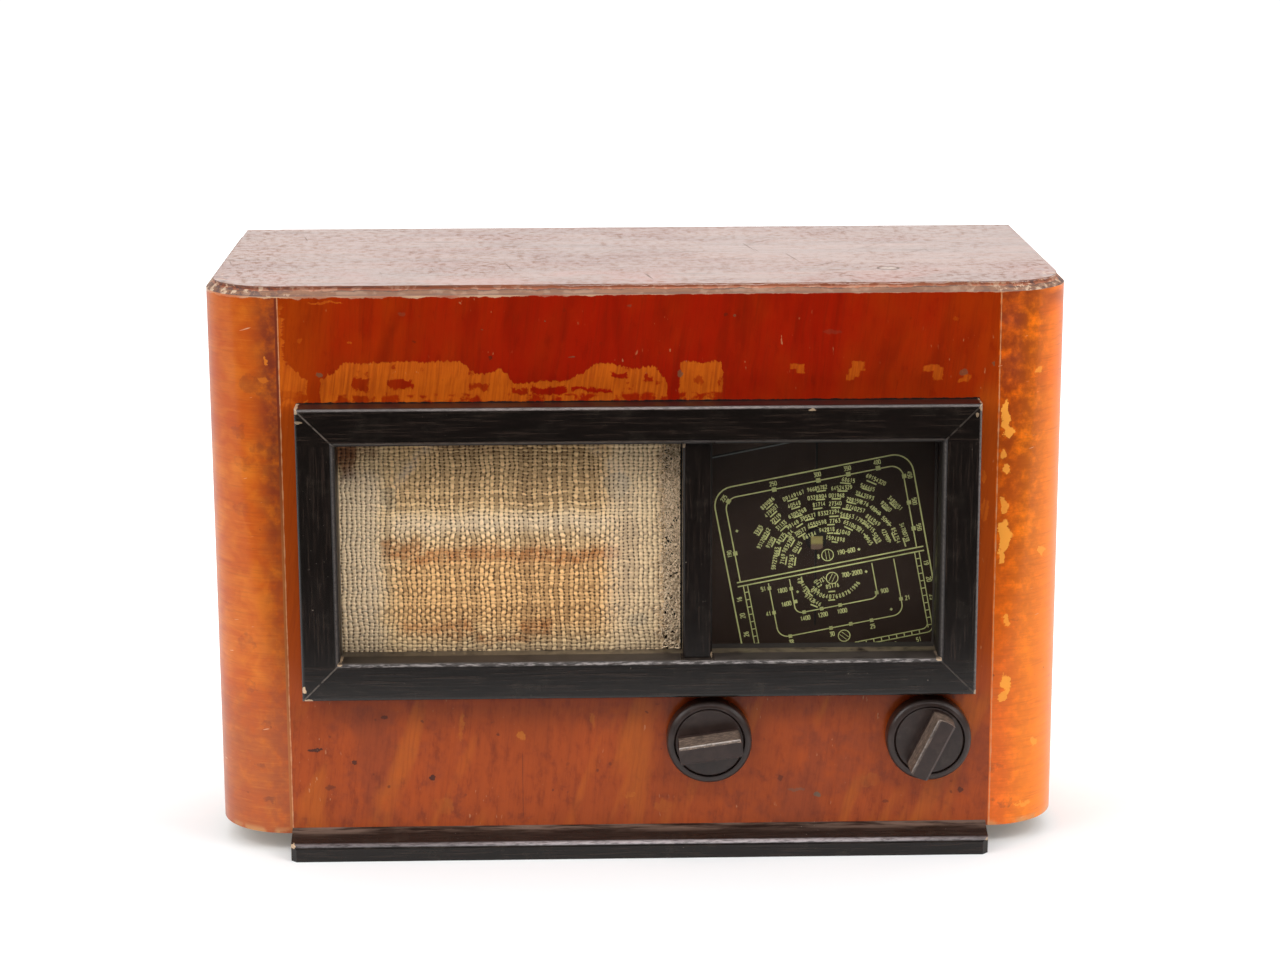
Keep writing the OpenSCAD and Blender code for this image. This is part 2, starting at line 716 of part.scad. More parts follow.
module dial_plate() {
    foot_reach = apron_y + 16 - plate_y;
    foot_clear = 1.5;
    left_foot_x1 = pointer_x - gang_w / 2 - foot_clear;
    right_foot_x0 = control_right_x + bobbin_flange_r;
    color("#262423") set_down() difference() {
        union() {
            translate([plate_x0, plate_y, deck_z])
                cube([plate_x1 - plate_x0, sheet_t, plate_top_z - deck_z]);
            translate([plate_x0, plate_y, deck_z]) cube([left_foot_x1 - plate_x0, foot_reach, sheet_t]);
            translate([right_foot_x0, plate_y, deck_z])
                cube([plate_x1 - right_foot_x0, foot_reach, sheet_t]);
        }
        bar_y(pointer_x, plate_y - cut, pointer_z, gang_shaft_d + 3, sheet_t + 2 * cut);
        for (x = [(plate_x0 + left_foot_x1) / 2, (right_foot_x0 + plate_x1) / 2])
            translate([x, apron_y + 9, deck_z - cut]) cylinder(d = bolt_d, h = 4);
    }
}

module dial_buffers() {
    color("#1f1f1f") set_down() on_glass() for (p = buffer_places)
        translate([p[0] - buffer_w / 2, glass_back_y, p[1] - buffer_w / 2])
            cube([buffer_w, buffer_t, buffer_w]);
}

module dial_clips() {
    strip = 0.5;
    clip_w = 8;
    hook = 3.6;
    color(steel) set_down() on_glass() for (p = clip_places)
        mirror([p[0] < 0 ? 1 : 0, 0, 0]) translate([glass_w / 2, 0, p[1] - clip_w / 2]) {
            translate([0.2, glass_y - 0.1 - strip, 0])
                cube([strip, plate_y - glass_y + 0.1 + strip, clip_w]);
            translate([0.2 - hook, glass_y - 0.1 - strip, 0]) cube([hook, strip, clip_w]);
            translate([0.2, plate_y - strip, 0]) cube([6, strip, clip_w]);
        }
}

lamp_places = [dial_mid_x - 36, dial_mid_x + 30];
lamp_cap_d = 10.2;
lamp_cap_h = 9;
lamp_bulb_h = 10;
lamp_holder_d = 12;
lamp_y = plate_y + sheet_t + 0.3 - lamp_holder_d / 2;
lamp_z = plate_top_z + 1;

module dial_lamp_holders() {
    strip = 0.8;
    color(steel) set_down() for (x = lamp_places) {
        translate([x, lamp_y, lamp_z + lamp_bulb_h]) difference() {
            cylinder(d = lamp_holder_d, h = lamp_cap_h + 2);
            translate([0, 0, -cut]) cylinder(d = lamp_cap_d + 0.2, h = lamp_cap_h + cut);
        }
        translate([x - 4, plate_y + sheet_t, plate_top_z - 12])
            cube([8, strip, lamp_z + lamp_bulb_h + lamp_cap_h + 2 - plate_top_z + 12]);
    }
}

module dial_lamps() {
    bulb_d = 9.6;
    color("#e8dfc0") set_down() for (x = lamp_places) translate([x, lamp_y, lamp_z]) {
        translate([0, 0, lamp_bulb_h]) cylinder(d = lamp_cap_d, h = lamp_cap_h);
        translate([0, 0, bulb_d / 2]) cylinder(d = bulb_d, h = lamp_bulb_h - bulb_d / 2);
        translate([0, 0, bulb_d / 2]) sphere(d = bulb_d);
    }
}

// Transformer core: two windows through its thickness, winding round the middle limb
module lamination_stack(w, t, h) {
    window = w / 6;
    difference() {
        translate([-w / 2, -t / 2, 0]) cube([w, t, h]);
        for (s = [-1, 1]) translate([s * w / 4 - window / 2, -t / 2 - cut, h / 5])
            cube([window, t + 2 * cut, h * 3 / 5]);
    }
}

module coil_block(w, t, h) {
    window = w / 6;
    limb = w / 2 - window;
    slack = 0.2;
    bulge = 7;
    translate([0, 0, h / 5 + slack]) difference() {
        translate([-limb / 2 - window + slack, -t / 2 - bulge, 0])
            cube([limb + 2 * window - 2 * slack, t + 2 * bulge, h * 3 / 5 - 2 * slack]);
        translate([-limb / 2 - slack, -t / 2 - slack, -cut])
            cube([limb + 2 * slack, t + 2 * slack, h]);
    }
}

module mains_transformer_core() {
    color("#55585a") set_down() translate([mains_place[0], mains_place[1], deck_z])
        lamination_stack(mains_w, mains_core, mains_h);
}

module mains_transformer_winding() {
    color("#7a5a30") set_down() translate([mains_place[0], mains_place[1], deck_z])
        coil_block(mains_w, mains_core, mains_h);
}

module output_transformer() {
    color("#55585a") set_down() translate([output_place[0], output_place[1], deck_z]) {
        lamination_stack(output_w, output_core, output_h);
        coil_block(output_w, output_core, output_h);
    }
}

module chassis() {
    color(steel) set_down() difference() {
        union() {
            translate([-chassis_x, apron_y, deck_z - sheet_t])
                cube([2 * chassis_x, rear_apron_y - apron_y, sheet_t]);
            for (y = [apron_y, rear_apron_y - sheet_t]) translate([-chassis_x, y, board_z])
                cube([2 * chassis_x, sheet_t, deck_z - board_z]);
            for (y = [apron_y, rear_apron_y - flange_w]) translate([-chassis_x, y, board_z])
                cube([2 * chassis_x, flange_w, sheet_t]);
        }
        for (p = valve_places) translate([p[0], p[1], deck_z - 2 * sheet_t])
            cylinder(d = socket_body_d + 0.4, h = 3 * sheet_t);
        for (x = [control_left_x, control_right_x])
            bar_y(x, apron_y - cut, control_z, bush_d + 0.2, sheet_t + 2 * cut);
        for (p = bolt_places) translate([p[0], p[1], board_z - cut])
            cylinder(d = bolt_d + 0.4, h = sheet_t + 2 * cut);
        for (s = [-1, 1]) bar_y(socket_strip_x + s * socket_pitch / 2, rear_apron_y - sheet_t - cut,
            socket_z, socket_d + 5, sheet_t + 2 * cut);
        for (s = [-1, 1]) bar_y(inlet_x + s * mains_pin_pitch / 2, rear_apron_y - sheet_t - cut,
            socket_z, mains_pin_d + 5, sheet_t + 2 * cut);
    }
}

module chassis_bolts() {
    recess = 2.6;
    nut_d = 2 * bolt_d;
    nut_t = 3;
    past_nut = 2;
    color(steel) set_down() for (p = bolt_places) translate([p[0], p[1], 0]) {
        translate([0, 0, base_z - recess]) cylinder(d = nut_d, h = recess);
        translate([0, 0, base_z]) cylinder(d = bolt_d, h = bottom_t + sheet_t + nut_t + past_nut);
        translate([0, 0, board_z + sheet_t]) difference() {
            cylinder(d = nut_d, h = nut_t, $fn = 6);
            translate([0, 0, -cut]) cylinder(d = bolt_d, h = nut_t + 2 * cut);
        }
    }
}

module valve_sockets() {
    color(paxolin) set_down() for (p = valve_places) translate([p[0], p[1], deck_z]) difference() {
        union() {
            cylinder(d = valve_d + 2 * socket_flange_w, h = socket_flange_t);
            translate([0, 0, -socket_body_h])
                cylinder(d = socket_body_d, h = socket_body_h + socket_flange_t / 3);
        }
        valve_pins(0.1);
    }
}

// Ring of pins under a valve, standing down from the top of its socket
module valve_pins(gap) {
    for (i = [1:9]) rotate([0, 0, i * 36])
        translate([valve_d * 0.3, 0, socket_flange_t - pin_depth - gap])
            cylinder(r = pin_r + gap, h = pin_depth + pin_lap + gap);
}

module valve_envelopes() {
    r = valve_d / 2;
    wall = 0.9;
    color("#cfd6d8") set_down() for (p = valve_places) translate([p[0], p[1], deck_z]) {
        valve_pins(0);
        translate([0, 0, socket_flange_t + 0.05]) rotate_extrude() polygon(concat(
            [[0, 0], [r - 1, 0], [r, 1.5], [r, valve_h - dome_h]],
            [for (i = [1:6]) let (a = i * 14)
                [r * cos(a), valve_h - dome_h + (dome_h - 2) * sin(a)]],
            [[1.2, valve_h - 1], [0, valve_h]],
            [[0, valve_h - 3.2]],
            [for (i = [5:-1:0]) let (a = i * 16)
                [(r - wall) * cos(a), valve_h - dome_h + (dome_h - 3.4) * sin(a)]],
            [[r - wall, 4], [0, 4]]
        ));
    }
}

module valve_electrodes() {
    r = valve_d / 2 - 1.1;
    color("#5e6265") set_down() for (p = valve_places)
        translate([p[0], p[1], deck_z + socket_flange_t + 4.1]) {
            for (s = [-1, 1]) translate([s * electrode_w * 0.3, 0, 0])
                cylinder(d = 0.8, h = valve_h - electrode_top_gap + 1, $fn = 16);
            for (z = [electrode_foot, valve_h - electrode_top_gap])
                translate([0, 0, z]) cylinder(r = r, h = 0.5);
            translate([-electrode_w / 2, -electrode_d / 2, electrode_foot])
                cube([electrode_w, electrode_d, valve_h - electrode_top_gap - electrode_foot]);
        }
}

module coil_cans() {
    w = coil_can_w;
    color("#b9bcbd") set_down() for (p = coil_can_places) translate([p[0], p[1], deck_z]) {
        difference() {
            translate([-w / 2, -w / 2, 0]) cube([w, w, coil_can_h]);
            translate([-w / 2 + 0.8, -w / 2 + 0.8, -cut])
                cube([w - 1.6, w - 1.6, coil_can_h - 0.8 + cut]);
            translate([0, 0, coil_can_h - 2]) cylinder(d = 6, h = 3);
        }
        difference() {
            union() {
                cylinder(d = 8, h = coil_can_h - 3);
                for (z = [10, 28]) translate([0, 0, z]) cylinder(d = 14, h = 7);
            }
            translate([0, 0, 2]) cylinder(d = 5.5, h = coil_can_h);
        }
    }
}

module smoothing_capacitor() {
    color("#b9bcbd") set_down() translate([can_place[0], can_place[1], deck_z]) {
        cylinder(d = can_d + 5, h = 3);
        translate([0, 0, 3]) cylinder(d = can_d, h = can_h - 6);
        translate([0, 0, can_h - 3]) cylinder(d1 = can_d, d2 = can_d - 3, h = 1.5);
    }
}

gang_foot_z = pointer_z - gang_shaft_h;
gang_top_z = pointer_z + 22;
gang_back_y = gang_y + gang_len;
gang_wall = 1.5;

module gang_bracket() {
    foot = 9;
    w = gang_w - 2;
    x0 = pointer_x - w / 2;
    color(steel) set_down() {
        translate([x0, gang_y, gang_foot_z - sheet_t]) cube([w, gang_len, sheet_t]);
        for (y = [gang_y, gang_back_y - sheet_t])
            translate([x0, y, deck_z]) cube([w, sheet_t, gang_foot_z - deck_z]);
        for (y = [gang_y, gang_back_y - foot])
            translate([x0, y, deck_z]) cube([w, foot, sheet_t]);
    }
}

module gang_frame() {
    color(steel) set_down() difference() {
        union() {
            translate([pointer_x - gang_w / 2, gang_y, gang_foot_z]) cube([gang_w, gang_len, gang_wall]);
            for (y = [gang_y, gang_y + gang_len / 2 - gang_wall / 2, gang_back_y - gang_wall])
                translate([pointer_x - gang_w / 2, y, gang_foot_z])
                    cube([gang_w, gang_wall, gang_top_z - gang_foot_z]);
        }
        bar_y(pointer_x, gang_y - cut, pointer_z, gang_shaft_d + 2 * run_gap, gang_len + 2 * cut);
    }
}

// Meshing plates: rotor plates turn in the gaps between the stator plates
plate_pitch = 3;
plate_thin = 0.8;
plate_count = 6;
rotor_r = 19;
stator_up = 19;
stator_down = 15;
stator_bar_z = 12;
section_y = [gang_y + gang_wall, gang_y + gang_len / 2 + gang_wall / 2];
function plate_y_at(k, i) = section_y[k] + (i + 1) * plate_pitch;

module gang_stators() {
    clear_r = gang_shaft_d / 2 + 2.5;
    bar_w = 2;
    section_len = gang_len / 2 - 1.5 * gang_wall;
    color("#c9c9c4") set_down() for (k = [0, 1]) difference() {
        union() {
            for (i = [0:plate_count - 1])
                translate([pointer_x, plate_y_at(k, i), pointer_z - stator_down])
                    cube([gang_w / 2 - bar_w / 2, plate_thin, stator_up + stator_down]);
            for (z = [-stator_bar_z, stator_bar_z])
                translate([
                    pointer_x + gang_w / 2 - 1.2 * bar_w, section_y[k] + 0.02, pointer_z + z - bar_w / 2
                ]) cube([bar_w, section_len - 0.04, bar_w]);
        }
        bar_y(pointer_x, section_y[k] - cut, pointer_z, 2 * clear_r, section_len + 2 * cut);
    }
}

module gang_rotor() {
    stub = 2;
    color("#c9c9c4") set_down() {
        bar_y(pointer_x, needle_y - 0.6, pointer_z, gang_shaft_d, gang_back_y + stub - needle_y + 0.6);
        for (k = [0, 1]) for (i = [0:plate_count - 2])
            translate([0, plate_y_at(k, i) + plate_pitch / 2, 0]) intersection() {
                bar_y(pointer_x, 0, pointer_z, 2 * rotor_r, plate_thin);
                translate([pointer_x - rotor_r, 0, pointer_z - rotor_r])
                    cube([2 * rotor_r, plate_thin, rotor_r + 1]);
            }
    }
}

module tuning_drum() {
    r = drum_d / 2;
    groove_r = r - 2.4;
    bore_r = gang_shaft_d / 2 + 0.02;
    mid = drum_t / 2;
    color("#cbb98c") set_down() difference() {
        along_y(pointer_x, drum_y, pointer_z) rotate_extrude() polygon([
            [bore_r, -1], [bore_r + 4, -1], [bore_r + 4, mid - 1],
            [groove_r - 5, mid - 1], [groove_r - 5, 0],
            [r, 0], [r, 1], [groove_r, mid - 1], [groove_r, mid + 1],
            [r, drum_t - 1], [r, drum_t],
            [groove_r - 5, drum_t], [groove_r - 5, mid + 1], [bore_r + 4, mid + 1],
            [bore_r + 4, drum_t + 1], [bore_r, drum_t + 1]
        ]);
        for (a = [45, 135, 225, 315]) translate([pointer_x, 0, pointer_z]) rotate([0, a, 0])
            bar_y(groove_r / 2 + 2, drum_y - cut, 0, 16, drum_t + 2 * cut);
    }
}

module pointer() {
    bore_r = gang_shaft_d / 2 + 0.02;
    boss_len = 3.6;
    color("#d9cfa8") set_down() {
        difference() {
            bar_y(pointer_x, needle_y - 1, pointer_z, pointer_boss_d, boss_len);
            bar_y(pointer_x, needle_y - 0.6, pointer_z, 2 * bore_r, boss_len);
        }
        difference() {
            translate([pointer_x - needle_w / 2, needle_y, pointer_z - needle_down])
                cube([needle_w, 0.6, needle_down + needle_up]);
            bar_y(pointer_x, needle_y - cut, pointer_z, pointer_boss_d - 1, 3);
        }
    }
}

module control_bushes() {
    nut_af = 14;
    color(brass) set_down() for (x = [control_left_x, control_right_x]) difference() {
        union() {
            bar_y(x, bush_front_y, control_z, bush_d, bush_back_y - bush_front_y);
            along_y(x, apron_y - 2.5, control_z) cylinder(d = nut_af / cos(30), h = 2.5 - 0.02, $fn = 6);
        }
        bar_y(x, bush_front_y - cut, control_z, outer_spindle_d + 2 * run_gap,
            bush_back_y - bush_front_y + 2 * cut);
    }
}

// Case of a rotary control with three solder tags below it
module control_case(x, y, len, bore_d) {
    difference() {
        union() {
            bar_y(x, y, control_z, pot_d, len);
            for (s = [-1, 0, 1])
                translate([x + s * 5 - 1.2, y + 2, control_z - pot_d / 2 - 5]) cube([2.4, 0.8, 7]);
        }
        bar_y(x, y - cut, control_z, bore_d, len + 2 * cut);
    }
}

module volume_control() {
    floor_t = 3;
    color(paxolin) set_down() difference() {
        control_case(control_left_x, bush_back_y, volume_len, inner_spindle_d + 2 * run_gap + 0.4);
        bar_y(control_left_x, bush_back_y - cut, control_z, outer_spindle_d + 2 * run_gap,
            volume_len - floor_t + cut);
    }
}

module tone_control() {
    switch_w = 17;
    switch_len = 10;
    color(paxolin) set_down() {
        control_case(control_left_x, tone_y, tone_len, inner_spindle_d + 2 * run_gap);
        translate([control_left_x - switch_w / 2, tone_back_y, control_z - switch_w / 2])
            cube([switch_w, switch_len, switch_w]);
    }
}

module band_switch() {
    plate_len = 3;
    wafer_t = 1.6;
    rod_r = pot_d / 2 - 2.4;
    hub_r = 5;
    color(paxolin) set_down() {
        difference() {
            bar_y(control_right_x, bush_back_y, control_z, pot_d, plate_len);
            bar_y(control_right_x, bush_back_y - cut, control_z, outer_spindle_d + 2 * run_gap + 0.2,
                plate_len + 2 * cut);
        }
        for (i = [1, 2]) difference() {
            bar_y(control_right_x, bush_back_y + i * wafer_pitch, control_z, pot_d, wafer_t);
            bar_y(control_right_x, bush_back_y + i * wafer_pitch - cut, control_z,
                2 * (hub_r + 0.3), wafer_t + 2 * cut);
        }
        for (s = [-1, 1]) for (i = [0, 1]) bar_y(control_right_x + s * rod_r,
            bush_back_y + i * (wafer_pitch + wafer_t) + (1 - i) * plate_len, control_z, 3,
            i == 0 ? wafer_pitch - plate_len : wafer_pitch - wafer_t);
    }
}

module tag_board() {
    board_w = 84;
    board_d = 34;
    board_t = 1.6;
    drop = 14;
    part_d = [5, 8, 5, 7, 5, 9, 5, 7];
    x0 = speaker_x - 60;
    y0 = apron_y + 28;
    z = deck_z - sheet_t - drop;
    color(paxolin) set_down() {
        translate([x0, y0, z - board_t]) cube([board_w, board_d, board_t]);
        for (dx = [6, board_w - 6]) translate([x0 + dx, y0 + board_d / 2, z]) cylinder(d = 5, h = drop);
        for (i = [0:7])
            bar_y(x0 + 8 + i * 9.6, y0 + 8, z - board_t - part_d[i] / 2 - 0.02, part_d[i], 18);
    }
}

// Route of the drive cord: round the drum, down to the bobbin, round it twice, and back
function polar(c, r, a, y) = [c[0] + r * cos(a), y, c[1] + r * sin(a)];
cord_slack = 0.12;
cord_turns = 2;
cord_pitch = cord_d + 0.5;
drum_c = [pointer_x, pointer_z];
bobbin_c = [control_right_x, control_z];
cord_drum_r = drum_d / 2 - 2.4 + cord_d / 2 + cord_slack;
cord_bobbin_r = bobbin_r + cord_d / 2 + cord_slack;
centre_run = norm(bobbin_c - drum_c);
centre_angle = atan2(bobbin_c[1] - drum_c[1], bobbin_c[0] - drum_c[0]);
leave_angle = acos((cord_drum_r - cord_bobbin_r) / centre_run);
cord_gap_angle = 5;
drum_arc_steps = 20;
bobbin_arc = 2 * leave_angle + 360 * cord_turns;
bobbin_steps = 44;
cord_lead = cord_pitch * (cord_turns + leave_angle / 180);
drum_arc = 180 - cord_gap_angle - leave_angle;
cord_route = concat(
    [for (i = [0:drum_arc_steps]) polar(drum_c, cord_drum_r,
        centre_angle - 180 + cord_gap_angle + i * drum_arc / drum_arc_steps, cord_y)],
    [for (i = [0:bobbin_steps]) polar(bobbin_c, cord_bobbin_r,
        centre_angle - leave_angle + i * bobbin_arc / bobbin_steps,
        cord_y + cord_lead * (i / bobbin_steps - 0.5))],
    [for (i = [0:drum_arc_steps]) polar(drum_c, cord_drum_r,
        centre_angle + leave_angle + i * drum_arc / drum_arc_steps, cord_y)]
);

// Tube of six sides along a route that turns about the Y direction
module tube_along(route, r) {
    n = len(route);
    sides = 6;
    function ahead(i) = route[min(i + 1, n - 1)] - route[max(i - 1, 0)];
    function outward(i) = let (t = ahead(i), q = cross(t, [0, 1, 0])) q / norm(q);
    rings = [for (i = [0:n - 1]) for (k = [0:sides - 1])
        route[i] + r * (cos(k * 360 / sides) * outward(i) + sin(k * 360 / sides) * [0, 1, 0])];
    walls = [for (i = [0:n - 2]) for (k = [0:sides - 1]) let (
            a = i * sides + k, b = i * sides + (k + 1) % sides
        ) each [[a, b, b + sides], [a, b + sides, a + sides]]];
    ends = [[for (k = [sides - 1:-1:0]) k], [for (k = [0:sides - 1]) (n - 1) * sides + k]];
    polyhedron(rings, concat(walls, ends));
}

module drive_cord() {
    color("#8f7a4d") set_down() tube_along(cord_route, cord_d / 2);
}

module aerial_earth_sockets() {
    color(paxolin) set_down() {
        difference() {
            translate([socket_strip_x - strip_w / 2, rear_apron_y + 0.02, socket_z - strip_h / 2])
                cube([strip_w, strip_t, strip_h]);
            for (s = [-1, 1]) bar_y(socket_strip_x + s * socket_pitch / 2, rear_apron_y - cut, socket_z,
                socket_d + 3, strip_t + 2 * cut);
        }
        for (s = [-1, 1]) difference() {
            union() {
                bar_y(socket_strip_x + s * socket_pitch / 2, rear_apron_y + strip_t + 1 - socket_len,
                    socket_z, socket_d + 3, socket_len);
                bar_y(socket_strip_x + s * socket_pitch / 2, rear_apron_y + strip_t + 0.02, socket_z,
                    socket_d + 6, 0.98);
            }
            bar_y(socket_strip_x + s * socket_pitch / 2, rear_apron_y + strip_t + 1 - socket_len - cut,
                socket_z, socket_d, socket_len + 2 * cut);
        }
    }
}

module mains_inlet() {
    color(bakelite) set_down() {
        translate([inlet_x - strip_w / 2, rear_apron_y + 0.02, socket_z - strip_h / 2])
            cube([strip_w, strip_t, strip_h]);
        for (s = [-1, 1])
            bar_y(inlet_x + s * mains_pin_pitch / 2, rear_apron_y - 6, socket_z, mains_pin_d,
                6 + strip_t + mains_pin_len);
    }
}

module back_cover() {
    cover_w = 2 * (inner_x - cover_gap);
    cover_z = base_z + cover_gap;
    cover_h = wall_z - cover_gap - cover_z;
    cols = 19;
    rows = 6;
    color("#6b4a2e") set_down() difference() {
        translate([-cover_w / 2, cover_y, cover_z]) cube([cover_w, cover_t, cover_h]);
        for (i = [0:cols - 1]) for (j = [0:rows - 1])
            bar_y((i - (cols - 1) / 2) * vent_pitch, cover_y - cut, speaker_z - 20 + j * vent_pitch,
                vent_d, cover_t + 2 * cut);
        for (x = [socket_strip_x, inlet_x])
            translate([x - strip_w / 2 - 2, cover_y - cut, socket_z - strip_h / 2 - 2])
                cube([strip_w + 4, cover_t + 2 * cut, strip_h + 4]);
        for (p = cover_screws)
            bar_y(p[0], cover_y - cut, p[1], screw_d + 2 * screw_gap, cover_t + 2 * cut);
    }
}

module back_cover_screws() {
    color(steel) set_down() for (p = cover_screws)
        translate([p[0], cover_y + cover_t, p[1]]) round_screw(cover_t + cover_screw_bite);
}

// Hollow spindle from the outer knob back to y_end
module outer_spindle(x, y_end) {
    bar_len = y_end - ring_floor_y;
    difference() {
        bar_y(x, ring_floor_y, control_z, outer_spindle_d, bar_len);
        bar_y(x, ring_floor_y - cut, control_z, inner_spindle_d + 2 * run_gap, bar_len + 2 * cut);
    }
}

module inner_spindle(x, y_end) {
    bar_y(x, knob_bore_y, control_z, inner_spindle_d, y_end - knob_bore_y);
}

// Outer knob: a ring with a rounded front edge, a recess for the disc, and a boss behind
module outer_knob(x) {
    r = ring_d / 2;
    round_r = 2.4;
    bore_r = outer_spindle_d / 2 + 0.02;
    recess_r = disc_d / 2 + knob_ring_gap;
    boss_r = 6;
    color(bakelite) set_down() along_y(x, ring_front_y, control_z) rotate_extrude() polygon(concat(
        [[bore_r, ring_recess], [recess_r, ring_recess], [recess_r, 0.2], [recess_r + 0.2, 0]],
        [for (i = [0:5]) let (a = i * 18) [r - round_r + round_r * sin(a), round_r * (1 - cos(a))]],
        [[r, ring_t - 0.6], [r - 0.6, ring_t], [boss_r, ring_t], [boss_r, ring_t + 5.4],
            [bore_r, ring_t + 5.4]]
    ));
}

// Inner knob: a disc with a straight grip across it
module inner_knob(x, angle) {
    r = disc_d / 2;
    grip_r = r - 1.2;
    top_w = grip_w - 1.4;
    soft = 1;
    color(bakelite) set_down() translate([x, 0, control_z]) rotate([0, -angle, 0]) difference() {
        union() {
            along_y(0, disc_front_y, 0) rotate_extrude() polygon([
                [0, 0], [r - 0.5, 0], [r, 0.5], [r, disc_back_y - disc_front_y],
                [0, disc_back_y - disc_front_y]
            ]);
            intersection() {
                along_y(0, grip_front_y, 0) cylinder(r = grip_r, h = grip_h + cut);
                rotate([90, 0, 90]) translate([0, 0, -r]) linear_extrude(2 * r) polygon([
                    [disc_front_y + 0.5, -grip_w / 2], [grip_front_y + soft, -top_w / 2],
                    [grip_front_y, -top_w / 2 + soft], [grip_front_y, top_w / 2 - soft],
                    [grip_front_y + soft, top_w / 2], [disc_front_y + 0.5, grip_w / 2]
                ]);
            }
        }
        bar_y(0, knob_bore_y, 0, inner_spindle_d + 0.04, grip_h);
    }
}

module tuning_spindle() {
    wall = 0.8;
    color(brass) set_down() {
        outer_spindle(control_right_x, bush_back_y - 1.5);
        along_y(control_right_x, cord_y - bobbin_w / 2 - wall, control_z) rotate_extrude() polygon([
            [inner_spindle_d / 2 + 1, 0], [bobbin_flange_r, 0], [bobbin_flange_r, wall],
            [bobbin_r, wall], [bobbin_r, wall + bobbin_w], [bobbin_flange_r, wall + bobbin_w],
            [bobbin_flange_r, 2 * wall + bobbin_w], [inner_spindle_d / 2 + 1, 2 * wall + bobbin_w]
        ]);
    }
}

module tuning_knob() {
    outer_knob(control_right_x);
}

module band_spindle() {
    hub_r = 5;
    color(brass) set_down() {
        inner_spindle(control_right_x, bush_back_y + 2 * wafer_pitch + 4);
        for (i = [1, 2]) bar_y(control_right_x, bush_back_y + i * wafer_pitch, control_z, 2 * hub_r, 1.6);
    }
}

module band_knob() {
    inner_knob(control_right_x, band_grip_angle);
}

module volume_spindle() {
    color(brass) set_down() outer_spindle(control_left_x, volume_back_y - 3.4);
}

module volume_knob() {
    outer_knob(control_left_x);
}

module tone_spindle() {
    color(brass) set_down() inner_spindle(control_left_x, tone_back_y - 0.3);
}

module tone_knob() {
    inner_knob(control_left_x, tone_grip_angle);
}

top_panel();
bottom_board();
side_left();
side_right();
front_panel();
corner_posts();
plinth_moulding();
rear_feet();
bezel_top();
bezel_bottom();
bezel_left();
bezel_right();
mullion();
grille_cloth();
baffle_board();
baffle_screws();
back_cover();
back_cover_screws();
dial_glass();
dial_plate();
dial_buffers();
dial_clips();
dial_lamp_holders();
dial_lamps();
speaker_frame();
speaker_cone();
speaker_magnet();
speaker_screws();
output_transformer();
chassis();
chassis_bolts();
mains_transformer_core();
mains_transformer_winding();
valve_sockets();
valve_envelopes();
valve_electrodes();
coil_cans();
smoothing_capacitor();
gang_bracket();
gang_frame();
gang_stators();
control_bushes();
volume_control();
tone_control();
band_switch();
tag_board();
drive_cord();
aerial_earth_sockets();
mains_inlet();
gang_rotor();
tuning_drum();
pointer();
tuning_spindle();
tuning_knob();
band_spindle();
band_knob();
volume_spindle();
volume_knob();
tone_spindle();
tone_knob();
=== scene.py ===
"""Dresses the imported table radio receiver: finishes, cloth, dial print and stage."""

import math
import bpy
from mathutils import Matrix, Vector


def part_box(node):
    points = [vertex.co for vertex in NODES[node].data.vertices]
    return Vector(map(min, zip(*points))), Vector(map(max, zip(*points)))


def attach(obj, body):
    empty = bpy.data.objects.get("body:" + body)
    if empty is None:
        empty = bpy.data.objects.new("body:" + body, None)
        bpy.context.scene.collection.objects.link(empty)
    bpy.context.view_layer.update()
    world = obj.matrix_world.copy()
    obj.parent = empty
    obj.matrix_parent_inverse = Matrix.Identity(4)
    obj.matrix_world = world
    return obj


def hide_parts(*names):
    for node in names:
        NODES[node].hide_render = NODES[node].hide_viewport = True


bl_info = {
    "name": "Table radio receiver",
    "version": (1, 0, 0),
    "blender": (4, 5, 0),
    "location": "View3D > Sidebar > Radio",
    "description": "Finishes, cloth, dial print and stage for a veneered table radio",
    "category": "Add Mesh",
}

from functools import reduce
from types import SimpleNamespace

import bpy
import numpy as np
from bpy.props import FloatProperty, FloatVectorProperty, IntProperty, PointerProperty
from mathutils import Matrix, Vector

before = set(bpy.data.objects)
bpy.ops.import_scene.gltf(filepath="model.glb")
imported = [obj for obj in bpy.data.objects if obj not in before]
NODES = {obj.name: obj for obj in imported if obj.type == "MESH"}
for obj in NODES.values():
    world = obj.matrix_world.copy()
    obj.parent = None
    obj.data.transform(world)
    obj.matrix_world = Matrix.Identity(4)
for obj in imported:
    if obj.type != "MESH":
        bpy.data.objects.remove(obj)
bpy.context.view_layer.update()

MM = 0.001
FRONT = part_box("front_panel")[0][1]
GLASS_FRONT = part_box("dial_glass")[0][1]


def middle_of(node):
    """(x, z) of a node's middle, in millimetres."""
    low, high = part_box(node)
    return (low[0] + high[0]) / 2 / MM, (low[2] + high[2]) / 2 / MM


